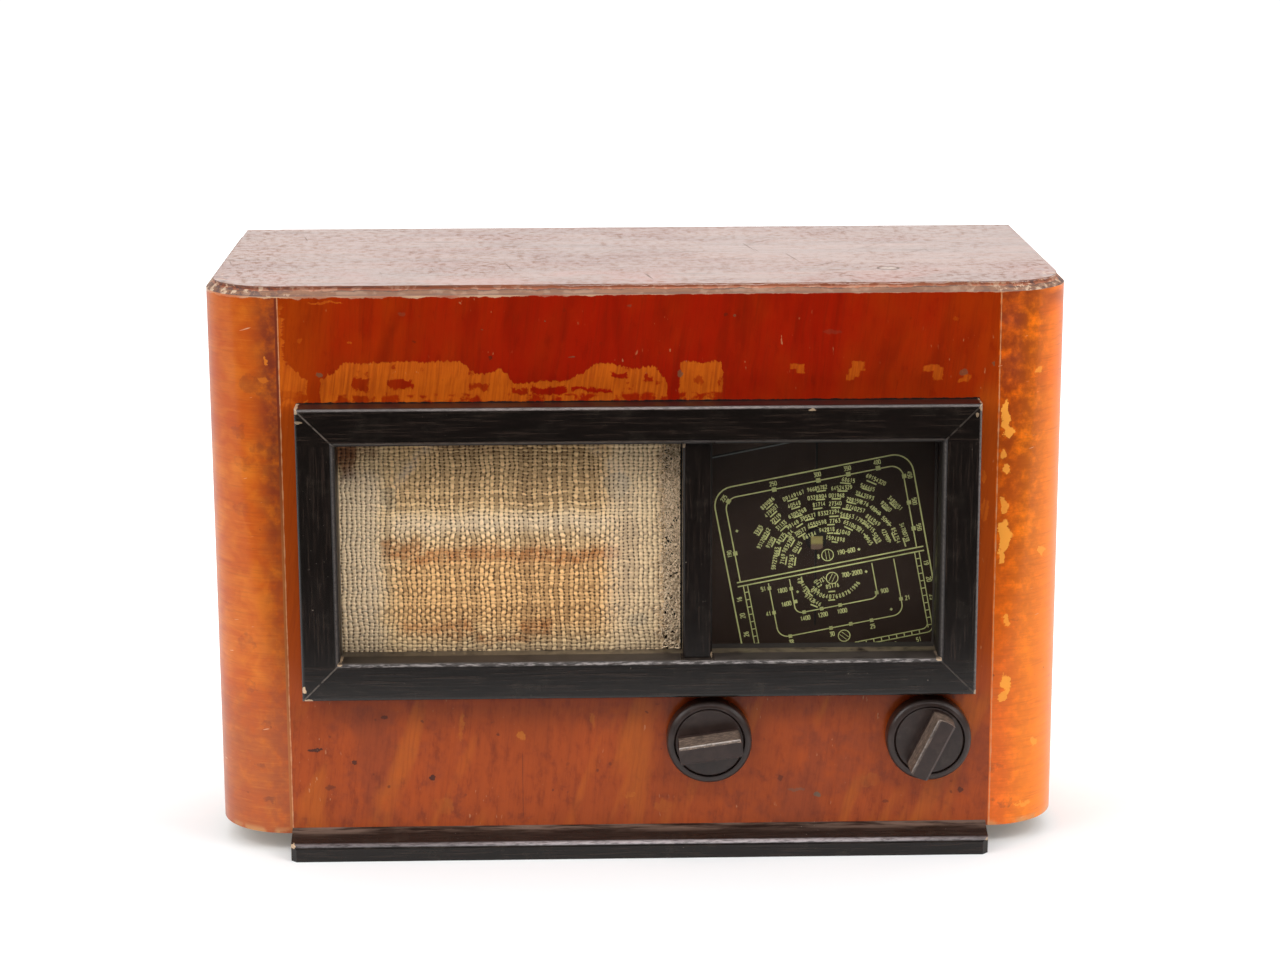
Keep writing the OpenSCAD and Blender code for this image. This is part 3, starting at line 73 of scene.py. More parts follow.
# Heights above the table and places from the middle, in millimetres, for the finishes.
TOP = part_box("top_panel")[1][2] / MM
WALL_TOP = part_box("side_left")[1][2] / MM
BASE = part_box("side_left")[0][2] / MM
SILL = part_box("bezel_bottom")[1][2] / MM
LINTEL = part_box("bezel_top")[0][2] / MM
FRAME_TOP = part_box("bezel_top")[1][2] / MM
FRAME_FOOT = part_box("bezel_bottom")[0][2] / MM
FRAME_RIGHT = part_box("bezel_right")[1][0] / MM
FRAME_MID = (FRAME_TOP + FRAME_FOOT) / 2
FRAME_HALF = (FRAME_TOP - FRAME_FOOT) / 2
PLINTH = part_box("plinth_moulding")[1][2] / MM
PLINTH_EDGE = 6.7
GLASS = middle_of("dial_glass")
GLASS_SIZE = (114.0, 102.4)
SPEAKER = middle_of("speaker_frame")
RIGHT_KNOB = middle_of("tuning_knob")
HUB = (75.8, RIGHT_KNOB[1] + 81.0)
# Half the window's width, the bar's two sides, the seams, and where a bend turns as (x, y).
WINDOW_HALF = 125.2
BAR = (17.0, 31.0)
SEAMS = (-147.8, 149.6)
BEND_MIDDLE = (149.0, 31.0)
CONE_RADIUS = 52.0
SCREW_INSET = 3.0
# Level threads of the cloth for each upright one.
LEVEL_THREADS = 1.36


class Value:
    """A socket in a material. Sums and products on it add Math nodes."""

    def __init__(self, finish, socket):
        self.finish = finish
        self.socket = socket

    def __add__(self, other):
        return self.finish.math("ADD", self, other)

    __radd__ = __add__

    def __sub__(self, other):
        return self.finish.math("SUBTRACT", self, other)

    def __rsub__(self, other):
        return self.finish.math("SUBTRACT", other, self)

    def __mul__(self, other):
        return self.finish.math("MULTIPLY", self, other)

    __rmul__ = __mul__

    def __truediv__(self, other):
        return self.finish.math("DIVIDE", self, other)

    def __abs__(self):
        return self.finish.math("ABSOLUTE", self)

    def power(self, other):
        return self.finish.math("POWER", self, other)

    def least(self, other):
        return self.finish.math("MINIMUM", self, other)

    def most(self, other):
        return self.finish.math("MAXIMUM", self, other)

    def sine(self):
        return self.finish.math("SINE", self)

    def hypot(self, other):
        """Length of the diagonal over two distances."""
        return (self * self + other * other).power(0.5)

    def fade(self, low, high):
        """0 below low, 1 above high, smooth between them. low may be the larger one."""
        if low > high:
            return 1 - self.fade(high, low)
        return self.finish.node(
            "ShaderNodeMapRange",
            {"interpolation_type": "SMOOTHSTEP", "clamp": True},
            {"Value": self, "From Min": low, "From Max": high},
        )

    def inside(self, low, high, soft):
        """1 between low and high, falling to 0 over soft on both sides."""
        return self.fade(low - soft, low + soft) * self.fade(high + soft, high - soft)


class Finish:
    """One material while its nodes are being joined."""

    def __init__(self, name):
        self.material = bpy.data.materials.new(name)
        self.material.use_nodes = True
        self.tree = self.material.node_tree
        self.tree.nodes.clear()
        self.out = self.tree.nodes.new("ShaderNodeOutputMaterial")

    def node(self, kind, settings=None, sockets=None, output=0):
        """Adds a node. settings are its attributes, sockets its inputs by name or number."""
        new = self.tree.nodes.new(kind)
        for key, value in (settings or {}).items():
            if key == "points":
                self.set_points(new.mapping, value)
            else:
                setattr(new, key, value)
        for key, value in (sockets or {}).items():
            self.join(value, new.inputs[key])
        return Value(self, new.outputs[output])

    def set_points(self, mapping, points):
        """Straight lines through (place, height) points between 0 and 1."""
        line = mapping.curves[0].points
        while len(line) < len(points):
            line.new(0.5, 0.5)
        for point, spot in zip(line, points):
            point.location = spot
            point.handle_type = "VECTOR"
        mapping.update()

    def profile(self, value, pairs):
        """Height of a broken line through (place, height) pairs."""
        places, heights = np.array(pairs, dtype=float).T
        low, reach = heights.min(), np.ptp(heights)
        start, width = places[0], np.ptp(places)
        points = list(zip(((places - start) / width).tolist(), ((heights - low) / reach).tolist()))
        share = self.node(
            "ShaderNodeFloatCurve", {"points": points}, {"Value": (value - float(start)) / float(width)}
        )
        return share * float(reach) + float(low)

    def join(self, value, socket):
        """Links a Value to a socket, or sets the socket to a number, a vector or a colour."""
        if isinstance(value, Value):
            self.tree.links.new(value.socket, socket)
        elif isinstance(value, (tuple, list)):
            size = len(socket.default_value)
            socket.default_value = (*value, 1.0) if size == 4 and len(value) == 3 else tuple(value)
        else:
            socket.default_value = value

    def math(self, operation, first, second=0.0):
        return self.node("ShaderNodeMath", {"operation": operation}, {0: first, 1: second})

    def place(self):
        """Place in millimetres: x from the middle, y from the veneer's front, z from the table."""
        own = self.node("ShaderNodeTexCoord", output=3)
        return self.node(
            "ShaderNodeVectorMath",
            {"operation": "MULTIPLY_ADD"},
            {0: own, 1: (1 / MM,) * 3, 2: (0.0, -FRONT / MM, 0.0)},
        )

    def split(self, vector):
        """The vector's x, y and z."""
        parts = self.node("ShaderNodeSeparateXYZ", sockets={0: vector})
        return [Value(self, parts.socket.node.outputs[i]) for i in range(3)]

    def stretch(self, vector, factors):
        return self.node("ShaderNodeVectorMath", {"operation": "MULTIPLY"}, {0: vector, 1: factors})

    def turned(self, vector, angles):
        """The vector turned by angles in degrees."""
        return self.node(
            "ShaderNodeMapping",
            sockets={"Vector": vector, "Rotation": tuple(math.radians(a) for a in angles)},
        )

    def waver(self, vector, *steps):
        """Pushes a vector about, once for each (size, amount), with noise of that size by up to amount."""
        for size, amount in steps:
            noise = self.node(
                "ShaderNodeTexNoise", sockets={"Vector": vector, "Scale": 1.0 / size, "Detail": 3.0}, output=1
            )
            centred = self.node(
                "ShaderNodeVectorMath", {"operation": "ADD"}, {0: noise, 1: (-0.5, -0.5, -0.5)}
            )
            sockets = {0: centred, 1: (2 * amount,) * 3, 2: vector}
            vector = self.node("ShaderNodeVectorMath", {"operation": "MULTIPLY_ADD"}, sockets)
        return vector

    def noise(self, vector, size, detail=3.0, rough=0.5, warp=0.0, stretch=None):
        """Noise from 0 to 1 with features of that size in millimetres. A stretch below 1 draws them out."""
        if stretch:
            vector = self.stretch(vector, stretch)
        return self.node("ShaderNodeTexNoise", sockets={
            "Vector": vector, "Scale": 1.0 / size, "Detail": detail, "Roughness": rough, "Distortion": warp,
        })

    def cells(self, vector, size, feature="F1"):
        """Distance from the nearest cell's middle, or from its edge, in cells of that size."""
        return self.node(
            "ShaderNodeTexVoronoi", {"feature": feature}, {"Vector": vector, "Scale": 1.0 / size}
        )

    def mix(self, factor, first, second, blend="MIX"):
        """Colour first where factor is 0 and second where it is 1."""
        return self.node(
            "ShaderNodeMix",
            {"data_type": "RGBA", "blend_type": blend, "clamp_factor": True},
            {0: factor, 6: first, 7: second},
            output=2,
        )

    def layers(self, base, *pairs):
        """Lays each colour of the (mask, colour) pairs over the ones before it."""
        for mask, over in pairs:
            base = self.mix(mask, base, over)
        return base

    def stain(self, mask, base, tint):
        """Multiplies the colour by a tint where the mask is 1."""
        return self.mix(mask, base, self.mix(1.0, base, tint, "MULTIPLY"))

    def bump(self, height, depth, strength):
        """Height from 0 to 1 stands for depth in millimetres."""
        return self.node(
            "ShaderNodeBump", sockets={"Height": height, "Distance": depth * MM, "Strength": strength}
        )

    def surface(self, **sockets):
        """Principled surface; Base_Color stands for Base Color and so on."""
        named = {key.replace("_", " "): value for key, value in sockets.items()}
        shader = self.node("ShaderNodeBsdfPrincipled", sockets=named)
        self.tree.links.new(shader.socket, self.out.inputs["Surface"])
        return self.material


def dress(material, *nodes):
    """Gives CAD nodes one material."""
    for node in nodes:
        mesh = NODES[node].data
        mesh.materials.clear()
        mesh.materials.append(material)


def new_mesh(name, points, faces):
    """Mesh of points and faces, the faces all with the same number of corners."""
    mesh = bpy.data.meshes.new(name)
    mesh.from_pydata(points.tolist(), [], faces.tolist())
    mesh.validate()
    return mesh


def grid_mesh(name, points):
    """Mesh over a grid of points, rows by columns."""
    rows, columns = points.shape[:2]
    index = np.arange(rows * columns).reshape(rows, columns)
    quads = np.stack([index[:-1, :-1], index[1:, :-1], index[1:, 1:], index[:-1, 1:]], axis=-1)
    return new_mesh(name, points.reshape(-1, 3), quads.reshape(-1, 4))


def add_piece(name, mesh, material, body, smooth=True):
    """Puts a mesh in the scene as a piece that rides on a body."""
    piece = bpy.data.objects.new(name, mesh)
    bpy.context.scene.collection.objects.link(piece)
    mesh.materials.clear()
    mesh.materials.append(material)
    mesh.polygons.foreach_set("use_smooth", np.full(len(mesh.polygons), smooth))
    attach(piece, body)
    return piece


# Settings


def colour(name, description, default):
    """A setting that holds a colour."""
    return FloatVectorProperty(
        name=name, description=description, subtype="COLOR", size=3, min=0.0, max=1.0, default=default
    )


def length(name, description, default):
    """A setting that holds a length."""
    return FloatProperty(
        name=name, description=description, default=default, unit="LENGTH", subtype="DISTANCE"
    )


class WoodSettings(bpy.types.PropertyGroup):
    """Colours of the varnished wood."""

    upper: colour("Upper front", "Deep red veneer above the black frame", (0.305, 0.0078, 0.0003))
    amber: colour("Orange cast", "Browner orange of the upper front towards its ends", (0.335, 0.039, 0.0008))
    side: colour("Beside the frame", "Veneer of the strips left and right of the frame", (0.37, 0.058, 0.003))
    lower: colour("Lower front", "Worn varnish below the black frame", (0.30, 0.047, 0.004))
    corner: colour("Corners", "Varnished veneer on the bent corners", (0.64, 0.158, 0.009))
    top: colour("Top", "Varnish of the top board", (0.33, 0.145, 0.085))
    bare: colour("Bare veneer", "Veneer where the varnish has flaked off", (0.54, 0.104, 0.003))
    lacquer: colour("Black lacquer", "Lacquer of the frame and the plinth", (0.0056, 0.0037, 0.0029))


class ClothSettings(bpy.types.PropertyGroup):
    """Weave of the cloth over the loudspeaker."""

    pitch: length("Thread pitch", "Distance between neighbouring upright threads", 2.08 * MM)
    thread: colour("Thread", "Colour of the clean thread", (0.745, 0.485, 0.242))
    loose: IntProperty(
        name="Loose threads", description="Frayed fibres at the right edge", default=950, min=1, max=2500
    )


class DialSettings(bpy.types.PropertyGroup):
    """Print on the dial glass."""

    tilt: FloatProperty(
        name="Slip", description="Angle that the glass has slipped out of level", default=math.radians(10.95),
        unit="ROTATION", subtype="ANGLE",
    )
    ink: colour("Ink", "Pale green print", (0.54, 0.55, 0.215))
    line: length("Line", "Width of the printed lines", 0.50 * MM)


class KnobSettings(bpy.types.PropertyGroup):
    """Finish of the knobs."""

    body: colour("Moulding", "Dark brown moulded resin", (0.021, 0.0120, 0.0098))
    # The worn colour also serves as painted light on the grips' upward flanks.
    worn: colour("Worn moulding", "Dulled flanks of the grips", (0.11, 0.077, 0.058))


class StageSettings(bpy.types.PropertyGroup):
    """Camera and light."""

    lens: FloatProperty(
        name="Lens", description="Focal length in millimetres on a 36 mm picture", default=82.87
    )
    camera: FloatVectorProperty(
        name="Camera", description="Place of the camera", subtype="TRANSLATION", unit="LENGTH", size=3,
        default=(-0.0287, -1.1934 + FRONT, 0.4386),
    )
    turn: FloatVectorProperty(
        name="Direction", description="Turn, dip and roll of the camera",
        subtype="EULER", unit="ROTATION", size=3,
        default=(math.radians(-1.403), math.radians(13.045), math.radians(-0.189)),
    )
    table: length("Table", "How far the lit table reaches in front of the radio in reflections", 0.27)
    glow: FloatProperty(name="Table glow", description="Light that the table gives off itself", default=0.55)
    paper: FloatProperty(name="Backdrop", description="Light that the backdrop gives off itself", default=1.0)
    room: FloatProperty(name="Room", description="Brightness of the room around the stage", default=0.05)
    key: FloatProperty(name="Key light", description="Power of each side light", default=18.5, unit="POWER")


def values_of(group):
    """A group's settings as plain numbers and tuples."""
    values = {name: getattr(group, name) for name in type(group).__annotations__}
    return SimpleNamespace(
        **{name: v if isinstance(v, (int, float)) else tuple(v) for name, v in values.items()}
    )


def times(tint, *factors):
    """A colour multiplied by one factor, or by one for each channel, up to 1."""
    factors = factors if len(factors) == 3 else factors * 3
    return tuple(min(1.0, c * f) for c, f in zip(tint, factors))


# Wood


def wood_grain(finish, place, along, tilt=0.0, ring=11.0):
    """Sliced veneer: noise stretched along one axis. Returns broad figure, fine fibres and pores."""
    turned = finish.turned(place, (0, tilt, 0)) if tilt else place
    wavy = finish.waver(turned, (60.0, 3.0))
    long_way = {"x": (0.12, 1, 1), "z": (1, 1, 0.12)}[along]
    longer = {"x": (0.035, 1, 1), "z": (1, 1, 0.035)}[along]
    figure = finish.noise(wavy, ring, detail=4.0, rough=0.55, warp=0.6, stretch=long_way)
    fibres = finish.noise(wavy, 1.0, rough=0.6, stretch=longer)
    pores = finish.noise(turned, 0.45, detail=2.0, stretch=longer).fade(0.60, 0.72)
    return figure, fibres, pores


def blots(finish, ragged, spots):
    """Marks at (x, z, half width, half height, strength), as ragged as the place they are read at."""
    x, _, z = finish.split(ragged)
    marks = []
    for cx, cz, wide, high, strength in spots:
        dx, dz = (x - cx) * (1 / wide), (z - cz) * (1 / high)
        marks.append((dx * dx + dz * dz).fade(1.0, 0.7) * strength)
    return reduce(Value.most, marks)


def patches_of(finish, ragged, boxes, soft):
    """Patches at (left, right, low, high, strength) with edges as soft as given."""
    x, _, z = finish.split(ragged)
    return reduce(Value.most, [
        x.inside(left, right, soft) * z.inside(low, high, soft) * strength
        for left, right, low, high, strength in boxes
    ])


def seam_line(finish, x, place):
    """Pale glue line where the front panel meets the bent corners, broken along its length."""
    drift = finish.noise(place, 30.0, stretch=(0, 0, 1)) * 0.7 - 0.35
    width = finish.noise(place, 5.0, stretch=(0, 0, 1)).fade(0.35, 0.7) * 0.34 + 0.13
    off = abs(x - SEAMS[0] + drift).least(abs(x - SEAMS[1] + drift))
    line = (off / width).fade(1.0, 0.5)
    return line * finish.noise(place, 4.0).fade(0.22, 0.42)


def top_lip(finish, z, place):
    """Pale bare strip along the upper edge of the walls, its lower edge scalloped."""
    scallop = finish.noise(place, 8.0, detail=4.0, rough=0.6, stretch=(1, 1, 0)).fade(0.35, 0.72) * 1.3
    patchy = finish.noise(place, 24.0).fade(0.35, 0.60) * 0.55 + 0.25
    narrow = finish.split(place)[0].fade(-80, 40)
    return (z + scallop * (1 - narrow * 0.6) - narrow * 0.35).fade(WALL_TOP - 0.40, WALL_TOP - 0.10) * patchy


def front_flakes(finish, place, ragged, mottle):
    """Where the front's varnish has flaked off: a torn band over the frame, and chips beside it."""
    z = finish.split(place)[2]
    streaky = finish.waver(ragged, (0.7, 0.25))
    rx, _, rz = finish.split(streaky)
    grain_edge = (finish.noise(place, 1.3, stretch=(1, 0, 0.08)) - 0.5) * 4.0
    crest = finish.profile(rx, [
        (-149, 214.5), (-147.2, 213.1), (-143, 210.5), (-136.8, 204.7), (-131, 205.9), (-125.6, 208.3),
        (-121.4, 212.5), (-73.4, 212.5), (-67.3, 207.0), (-58.9, 208.4), (-57.0, 210.4), (-54.1, 207.1),
        (-51.1, 203.5), (-30.3, 204.4), (-20.8, 208.7), (-17.9, 211.2), (-9.6, 211.6), (-2.6, 209.1),
        (6.9, 210.2), (11.8, 202.8), (17.2, 211.5), (18.8, 212.0), (34.1, 211.9), (34.9, 204.1), (40, 204),
    ])
    band = (crest + grain_edge - rz).fade(-0.25, 0.25)
    spans = rx.inside(-150, -136.6, 0.3).most(rx.inside(-130.8, 11.8, 0.3)).most(rx.inside(17.2, 34.9, 0.3))
    torn = finish.waver(streaky, (4.0, 2.4), (1.1, 1.0))
    red_left = patches_of(finish, torn, [
        (-118, -111, 201, 206.5, 1), (-103, -93, 202, 205, 1), (-44, -29.5, 198.6, 202, 1),
        (-27, -11, 199.6, 201.2, 1), (-11, -5, 205, 208, 1), (-70, -62, 201, 203.5, 0.8),
        (2, 6, 204, 206.5, 0.9), (-52, -46, 199, 201.5, 0.9), (23, 27, 203, 205.5, 0.6),
        (-150, -139, 198, 201, 0.5),
    ], 0.4)
    rests = mottle.fade(0.60, 0.66) * finish.noise(place, 2.2).fade(0.40, 0.55)
    thin_foot = rz.fade(199.4, 198.2) * finish.noise(place, 5.0).fade(0.45, 0.55)
    flakes = band * rz.fade(192, 194) * spans * (1 - red_left.most(rests * 0.85).most(thin_foot * 0.9))
    chips = blots(finish, finish.waver(streaky, (2.2, 0.8)), [
        (-118.7, 221, 1.4, 0.7, 0.7), (-139, 222, 1.2, 0.9, 0.4), (144.8, 148, 1.6, 5.5, 0.9),
        (144, 162, 1.2, 3.5, 0.8), (131, 229, 1.8, 1.2, 0.3), (-128.2, 237.4, 8, 0.6, 0.7),
    ])
    squares = patches_of(finish, finish.waver(streaky, (2.0, 0.5)), [
        (62.6, 65.6, 208.2, 210.6, 0.7), (65.2, 68.6, 206.6, 210.6, 0.8), (88.6, 93.2, 207.6, 211.6, 0.8),
        (87.0, 91.2, 205.2, 208.4, 0.8), (86.0, 89.6, 203.6, 206.0, 0.7), (118.0, 124.6, 207.2, 209.6, 0.75),
        (122.0, 126.2, 203.2, 209.2, 0.8), (132.6, 136.8, 202.6, 204.2, 0.7),
        (134.0, 137.6, 203.4, 205.4, 0.6),
    ], 0.35)
    shore = finish.noise(place, 5.0, detail=5.0, rough=0.7, stretch=(0, 1, 1)).fade(0.40, 0.75) * 5.0
    shore = (shore - 146.9 - rx).fade(-0.2, 0.3) * z.inside(208, 236, 2.0) * 0.8
    return flakes.most(chips).most(squares).most(shore)


def front_marks(finish, base, place, ragged, mottle, below):
    """Lays scabs, dark spots, specks, worn patches, a crack and nicks over the front's colour."""
    x, _, z = finish.split(place)
    scabs = blots(finish, finish.waver(place, (2.4, 1.2), (0.8, 0.5)), [
        (-131.2, 207.4, 1.4, 1.1, 1), (17.4, 206.8, 1.3, 1.6, 1), (134.6, 206.6, 2.0, 1.5, 0.8),
        (-64, 226, 0.5, 0.4, 1), (-38.3, 229.3, 0.5, 0.5, 1), (-27.4, 214.4, 1.3, 0.4, 0.9),
        (-97, 232.5, 1.6, 0.9, 0.35), (39.5, 231, 0.6, 0.5, 0.8), (-3.6, 235.5, 1.0, 0.6, 0.5),
        (147, 210, 0.7, 1.2, 0.9), (80, 224, 4.5, 0.9, 0.25),
    ])
    base = finish.mix(scabs * 0.65, base, (0.13, 0.085, 0.045))

    dark_spots = blots(finish, finish.waver(place, (2.4, 1.3), (0.7, 0.5)), [
        (-88, 33, 1.5, 1.4, 1), (-121, 40, 1.1, 0.9, 0.9), (-137.5, 45.6, 3.4, 0.8, 1),
        (-108, 60, 1.6, 0.9, 0.8), (-131.5, 29, 2.2, 1.0, 0.5), (137, 25, 1.6, 1.2, 0.8),
        (-60, 52, 0.9, 0.8, 0.7), (-37, 27, 0.8, 0.6, 0.6), (60, 31, 0.8, 1.3, 0.6), (105, 20, 1.3, 0.7, 0.5),
        (3, 61, 0.7, 0.5, 0.6), (-92, 58, 0.8, 0.7, 0.6), (-61, 214, 0.9, 0.7, 0.7),
        (-92, 221, 0.8, 0.6, 0.5), (36, 231.5, 0.8, 0.6, 0.5),
    ])
    specks = finish.cells(finish.waver(place, (8.0, 2.5)), 7.5).fade(0.13, 0.06)
    specks = specks * finish.noise(place, 20.0).fade(0.48, 0.58) * (0.35 + below * 0.65)
    grime = mottle.fade(0.56, 0.78) * z.fade(60, 30) * 0.3
    base = finish.mix(dark_spots.most(specks * 0.6).most(grime), base, (0.06, 0.014, 0.006))
    green = blots(
        finish, finish.waver(ragged, (1.5, 0.8)), [(66.5, 25.6, 4.5, 0.8, 0.5), (75.5, 23.6, 1.7, 1.2, 1)]
    )
    base = finish.mix(green * 0.55, base, (0.05, 0.11, 0.08))
    worn = blots(finish, finish.waver(ragged, (3.0, 2.4), (0.9, 0.9)), [
        (-50.5, 50.5, 2.4, 1.8, 0.9), (-75.5, 55, 1.4, 6.5, 0.7), (-4, 24, 2.6, 1.4, 0.8),
        (-84, 20, 5.0, 4.0, 0.3), (10, 19, 4.0, 2.6, 0.3), (-20, 58, 1.0, 4.0, 0.5), (34, 66, 2.0, 1.2, 0.5),
        (98, 30, 5.0, 3.0, 0.3),
    ])
    base = finish.mix(worn * mottle.fade(0.3, 0.6) * 0.7, base, (0.52, 0.16, 0.012))
    crack = x.inside(-49.9, -49.6, 0.12) * z.inside(15, 43, 1.0)
    base = finish.mix(crack * 0.6, base, (0.06, 0.014, 0.006))
    nicks = finish.noise(place, 1.5, detail=2.0, stretch=(1, 1, 0.35)).fade(0.67, 0.72)
    nicks = nicks * finish.noise(place, 25.0).fade(0.52, 0.60)
    return finish.mix(nicks * 0.45, base, (0.52, 0.27, 0.12))


def front_edges(finish, base, place):
    """Lays the shade under the frame, its paint's edge, the seams, the top lip and the window's cut edges
    over the front's colour."""
    x, y, z = finish.split(place)
    under = abs(x).fade(143.0, 141.6) * z.fade(FRAME_FOOT - 5.0, FRAME_FOOT - 0.5)
    base = finish.mix(under * z.fade(150, 100) * 0.55, base, (0.10, 0.022, 0.008))
    paint_edge = finish.noise(place, 2.6, detail=4.0, rough=0.65) * 1.5 - 0.35
    outside = (abs(x) - FRAME_RIGHT).most(abs(z - FRAME_MID) - FRAME_HALF)
    base = finish.mix((paint_edge - outside).fade(-0.12, 0.12), base, (0.012, 0.009, 0.008))

    outer = x.fade(-147.9, -148.1)
    base = finish.layers(
        base,
        (outer, finish.mix(z.fade(120, 200), (0.36, 0.11, 0.03), (0.16, 0.028, 0.012))),
        (seam_line(finish, x, place) * 0.7, (0.60, 0.30, 0.14)),
        (top_lip(finish, z, place), (0.66, 0.44, 0.28)),
    )
    cut = y.fade(0.15, 0.4)
    base = finish.mix(cut, base, (0.012, 0.009, 0.008))
    sill = cut * z.fade(88.2, 87.2) * z.fade(70, 80)
    dusty = finish.mix(x.fade(-125, 10), (0.055, 0.042, 0.030), (0.13, 0.10, 0.065))
    base = finish.mix(sill * finish.noise(place, 5.0, detail=4.0).fade(0.2, 0.6), base, dusty)
    return base


def front_veneer(wood):
    """Front panel: deep red above the frame, browner below it, flaked to amber along the frame's top edge."""
    finish = Finish("front_veneer")
    place = finish.place()
    x, _, z = finish.split(place)
    figure, fibres, pores = wood_grain(finish, place, "z", tilt=-7)
    flame = finish.noise(finish.turned(place, (0, -20, 0)), 20.0, stretch=(1, 1, 0.22))
    clouds = finish.noise(place, 42.0, detail=4.0, rough=0.6, stretch=(1, 1, 0.6))
    mottle = finish.noise(place, 9.0, detail=4.0, rough=0.65)

    warm = finish.profile(x, [
        (-148, 0.85), (-120, 0.55), (-95, 0.42), (-60, 0.22), (-30, 0.05), (10, 0.08), (45, 0.18), (80, 0.26),
        (115, 0.34), (148, 0.60),
    ])
    warm = (warm + (clouds - 0.5) * 0.9 + (flame - 0.5) * 0.6 + (mottle - 0.5) * 0.3).fade(0.0, 1.0)
    upper = finish.mix(warm, wood.upper, wood.amber)
    deep = (figure.fade(0.45, 0.75) * 0.55).most(flame.fade(0.55, 0.75) * 0.6)
    upper = finish.mix(deep, upper, times(wood.upper, 0.52))
    drift = finish.noise(place, 5.0, detail=5.0, rough=0.7, stretch=(1, 1, 0.4))
    upper = finish.mix(drift.fade(0.52, 0.74) * 0.45, upper, times(wood.upper, 0.55))
    upper = finish.mix(drift.fade(0.46, 0.28) * 0.30, upper, (0.42, 0.022, 0.0008))
    lower = finish.mix((figure * 0.5 + clouds * 0.5).fade(0.35, 0.65), wood.lower, times(wood.lower, 1.22))
    lower = finish.mix(drift.fade(0.46, 0.72) * 0.75, lower, times(wood.lower, 0.60, 0.50, 0.5))
    lower = finish.mix(mottle.fade(0.50, 0.72) * 0.4, lower, times(wood.lower, 0.66, 0.5, 0.5))
    lower = finish.layers(
        lower,
        ((clouds + mottle * 0.4).fade(0.70, 0.86) * 0.55, (0.19, 0.034, 0.010)),
        (flame.fade(0.46, 0.36) * 0.5, (0.46, 0.105, 0.006)),
    )
    below = z.fade(84, 62)
    base = finish.mix(below, upper, lower)
    beside = abs(x).fade(138, 144) * z.fade(206, 194) * z.fade(60, 76)
    base = finish.mix(beside * 0.85, base, wood.side)

    ragged = finish.waver(place, (7.0, 1.5), (1.6, 0.7))
    flakes = front_flakes(finish, place, ragged, mottle)
    bare = finish.mix(
        (fibres * 0.6 + mottle * 0.4).fade(0.36, 0.62), wood.bare, times(wood.bare, 0.80, 0.68, 0.4)
    )
    bare = finish.mix(finish.noise(place, 3.0).fade(0.60, 0.72) * 0.55, bare, (0.50, 0.07, 0.003))
    base = finish.mix(flakes, base, bare)
    base = front_marks(finish, base, place, ragged, mottle, below)
    base = finish.mix((fibres.fade(0.42, 0.78) * 0.24).most(pores * 0.30), base, (0.10, 0.012, 0.003))
    base = front_edges(finish, base, place)
    crackle = finish.cells(finish.waver(place, (4.0, 1.0)), 3.6, feature="DISTANCE_TO_EDGE").fade(0.06, 0.0)
    height = fibres * 0.22 + figure * 0.1 - flakes * 0.6 - pores * 0.2 - crackle * 0.08
    return finish.surface(
        Base_Color=base,
        Roughness=0.26 + flakes * 0.22 + clouds * 0.08 + below * 0.06,
        Normal=finish.bump(height, 0.10, 0.7),
        Coat_Weight=0.22 - flakes * 0.18,
        Coat_Roughness=0.12,
        Specular_IOR_Level=0.14,
    )


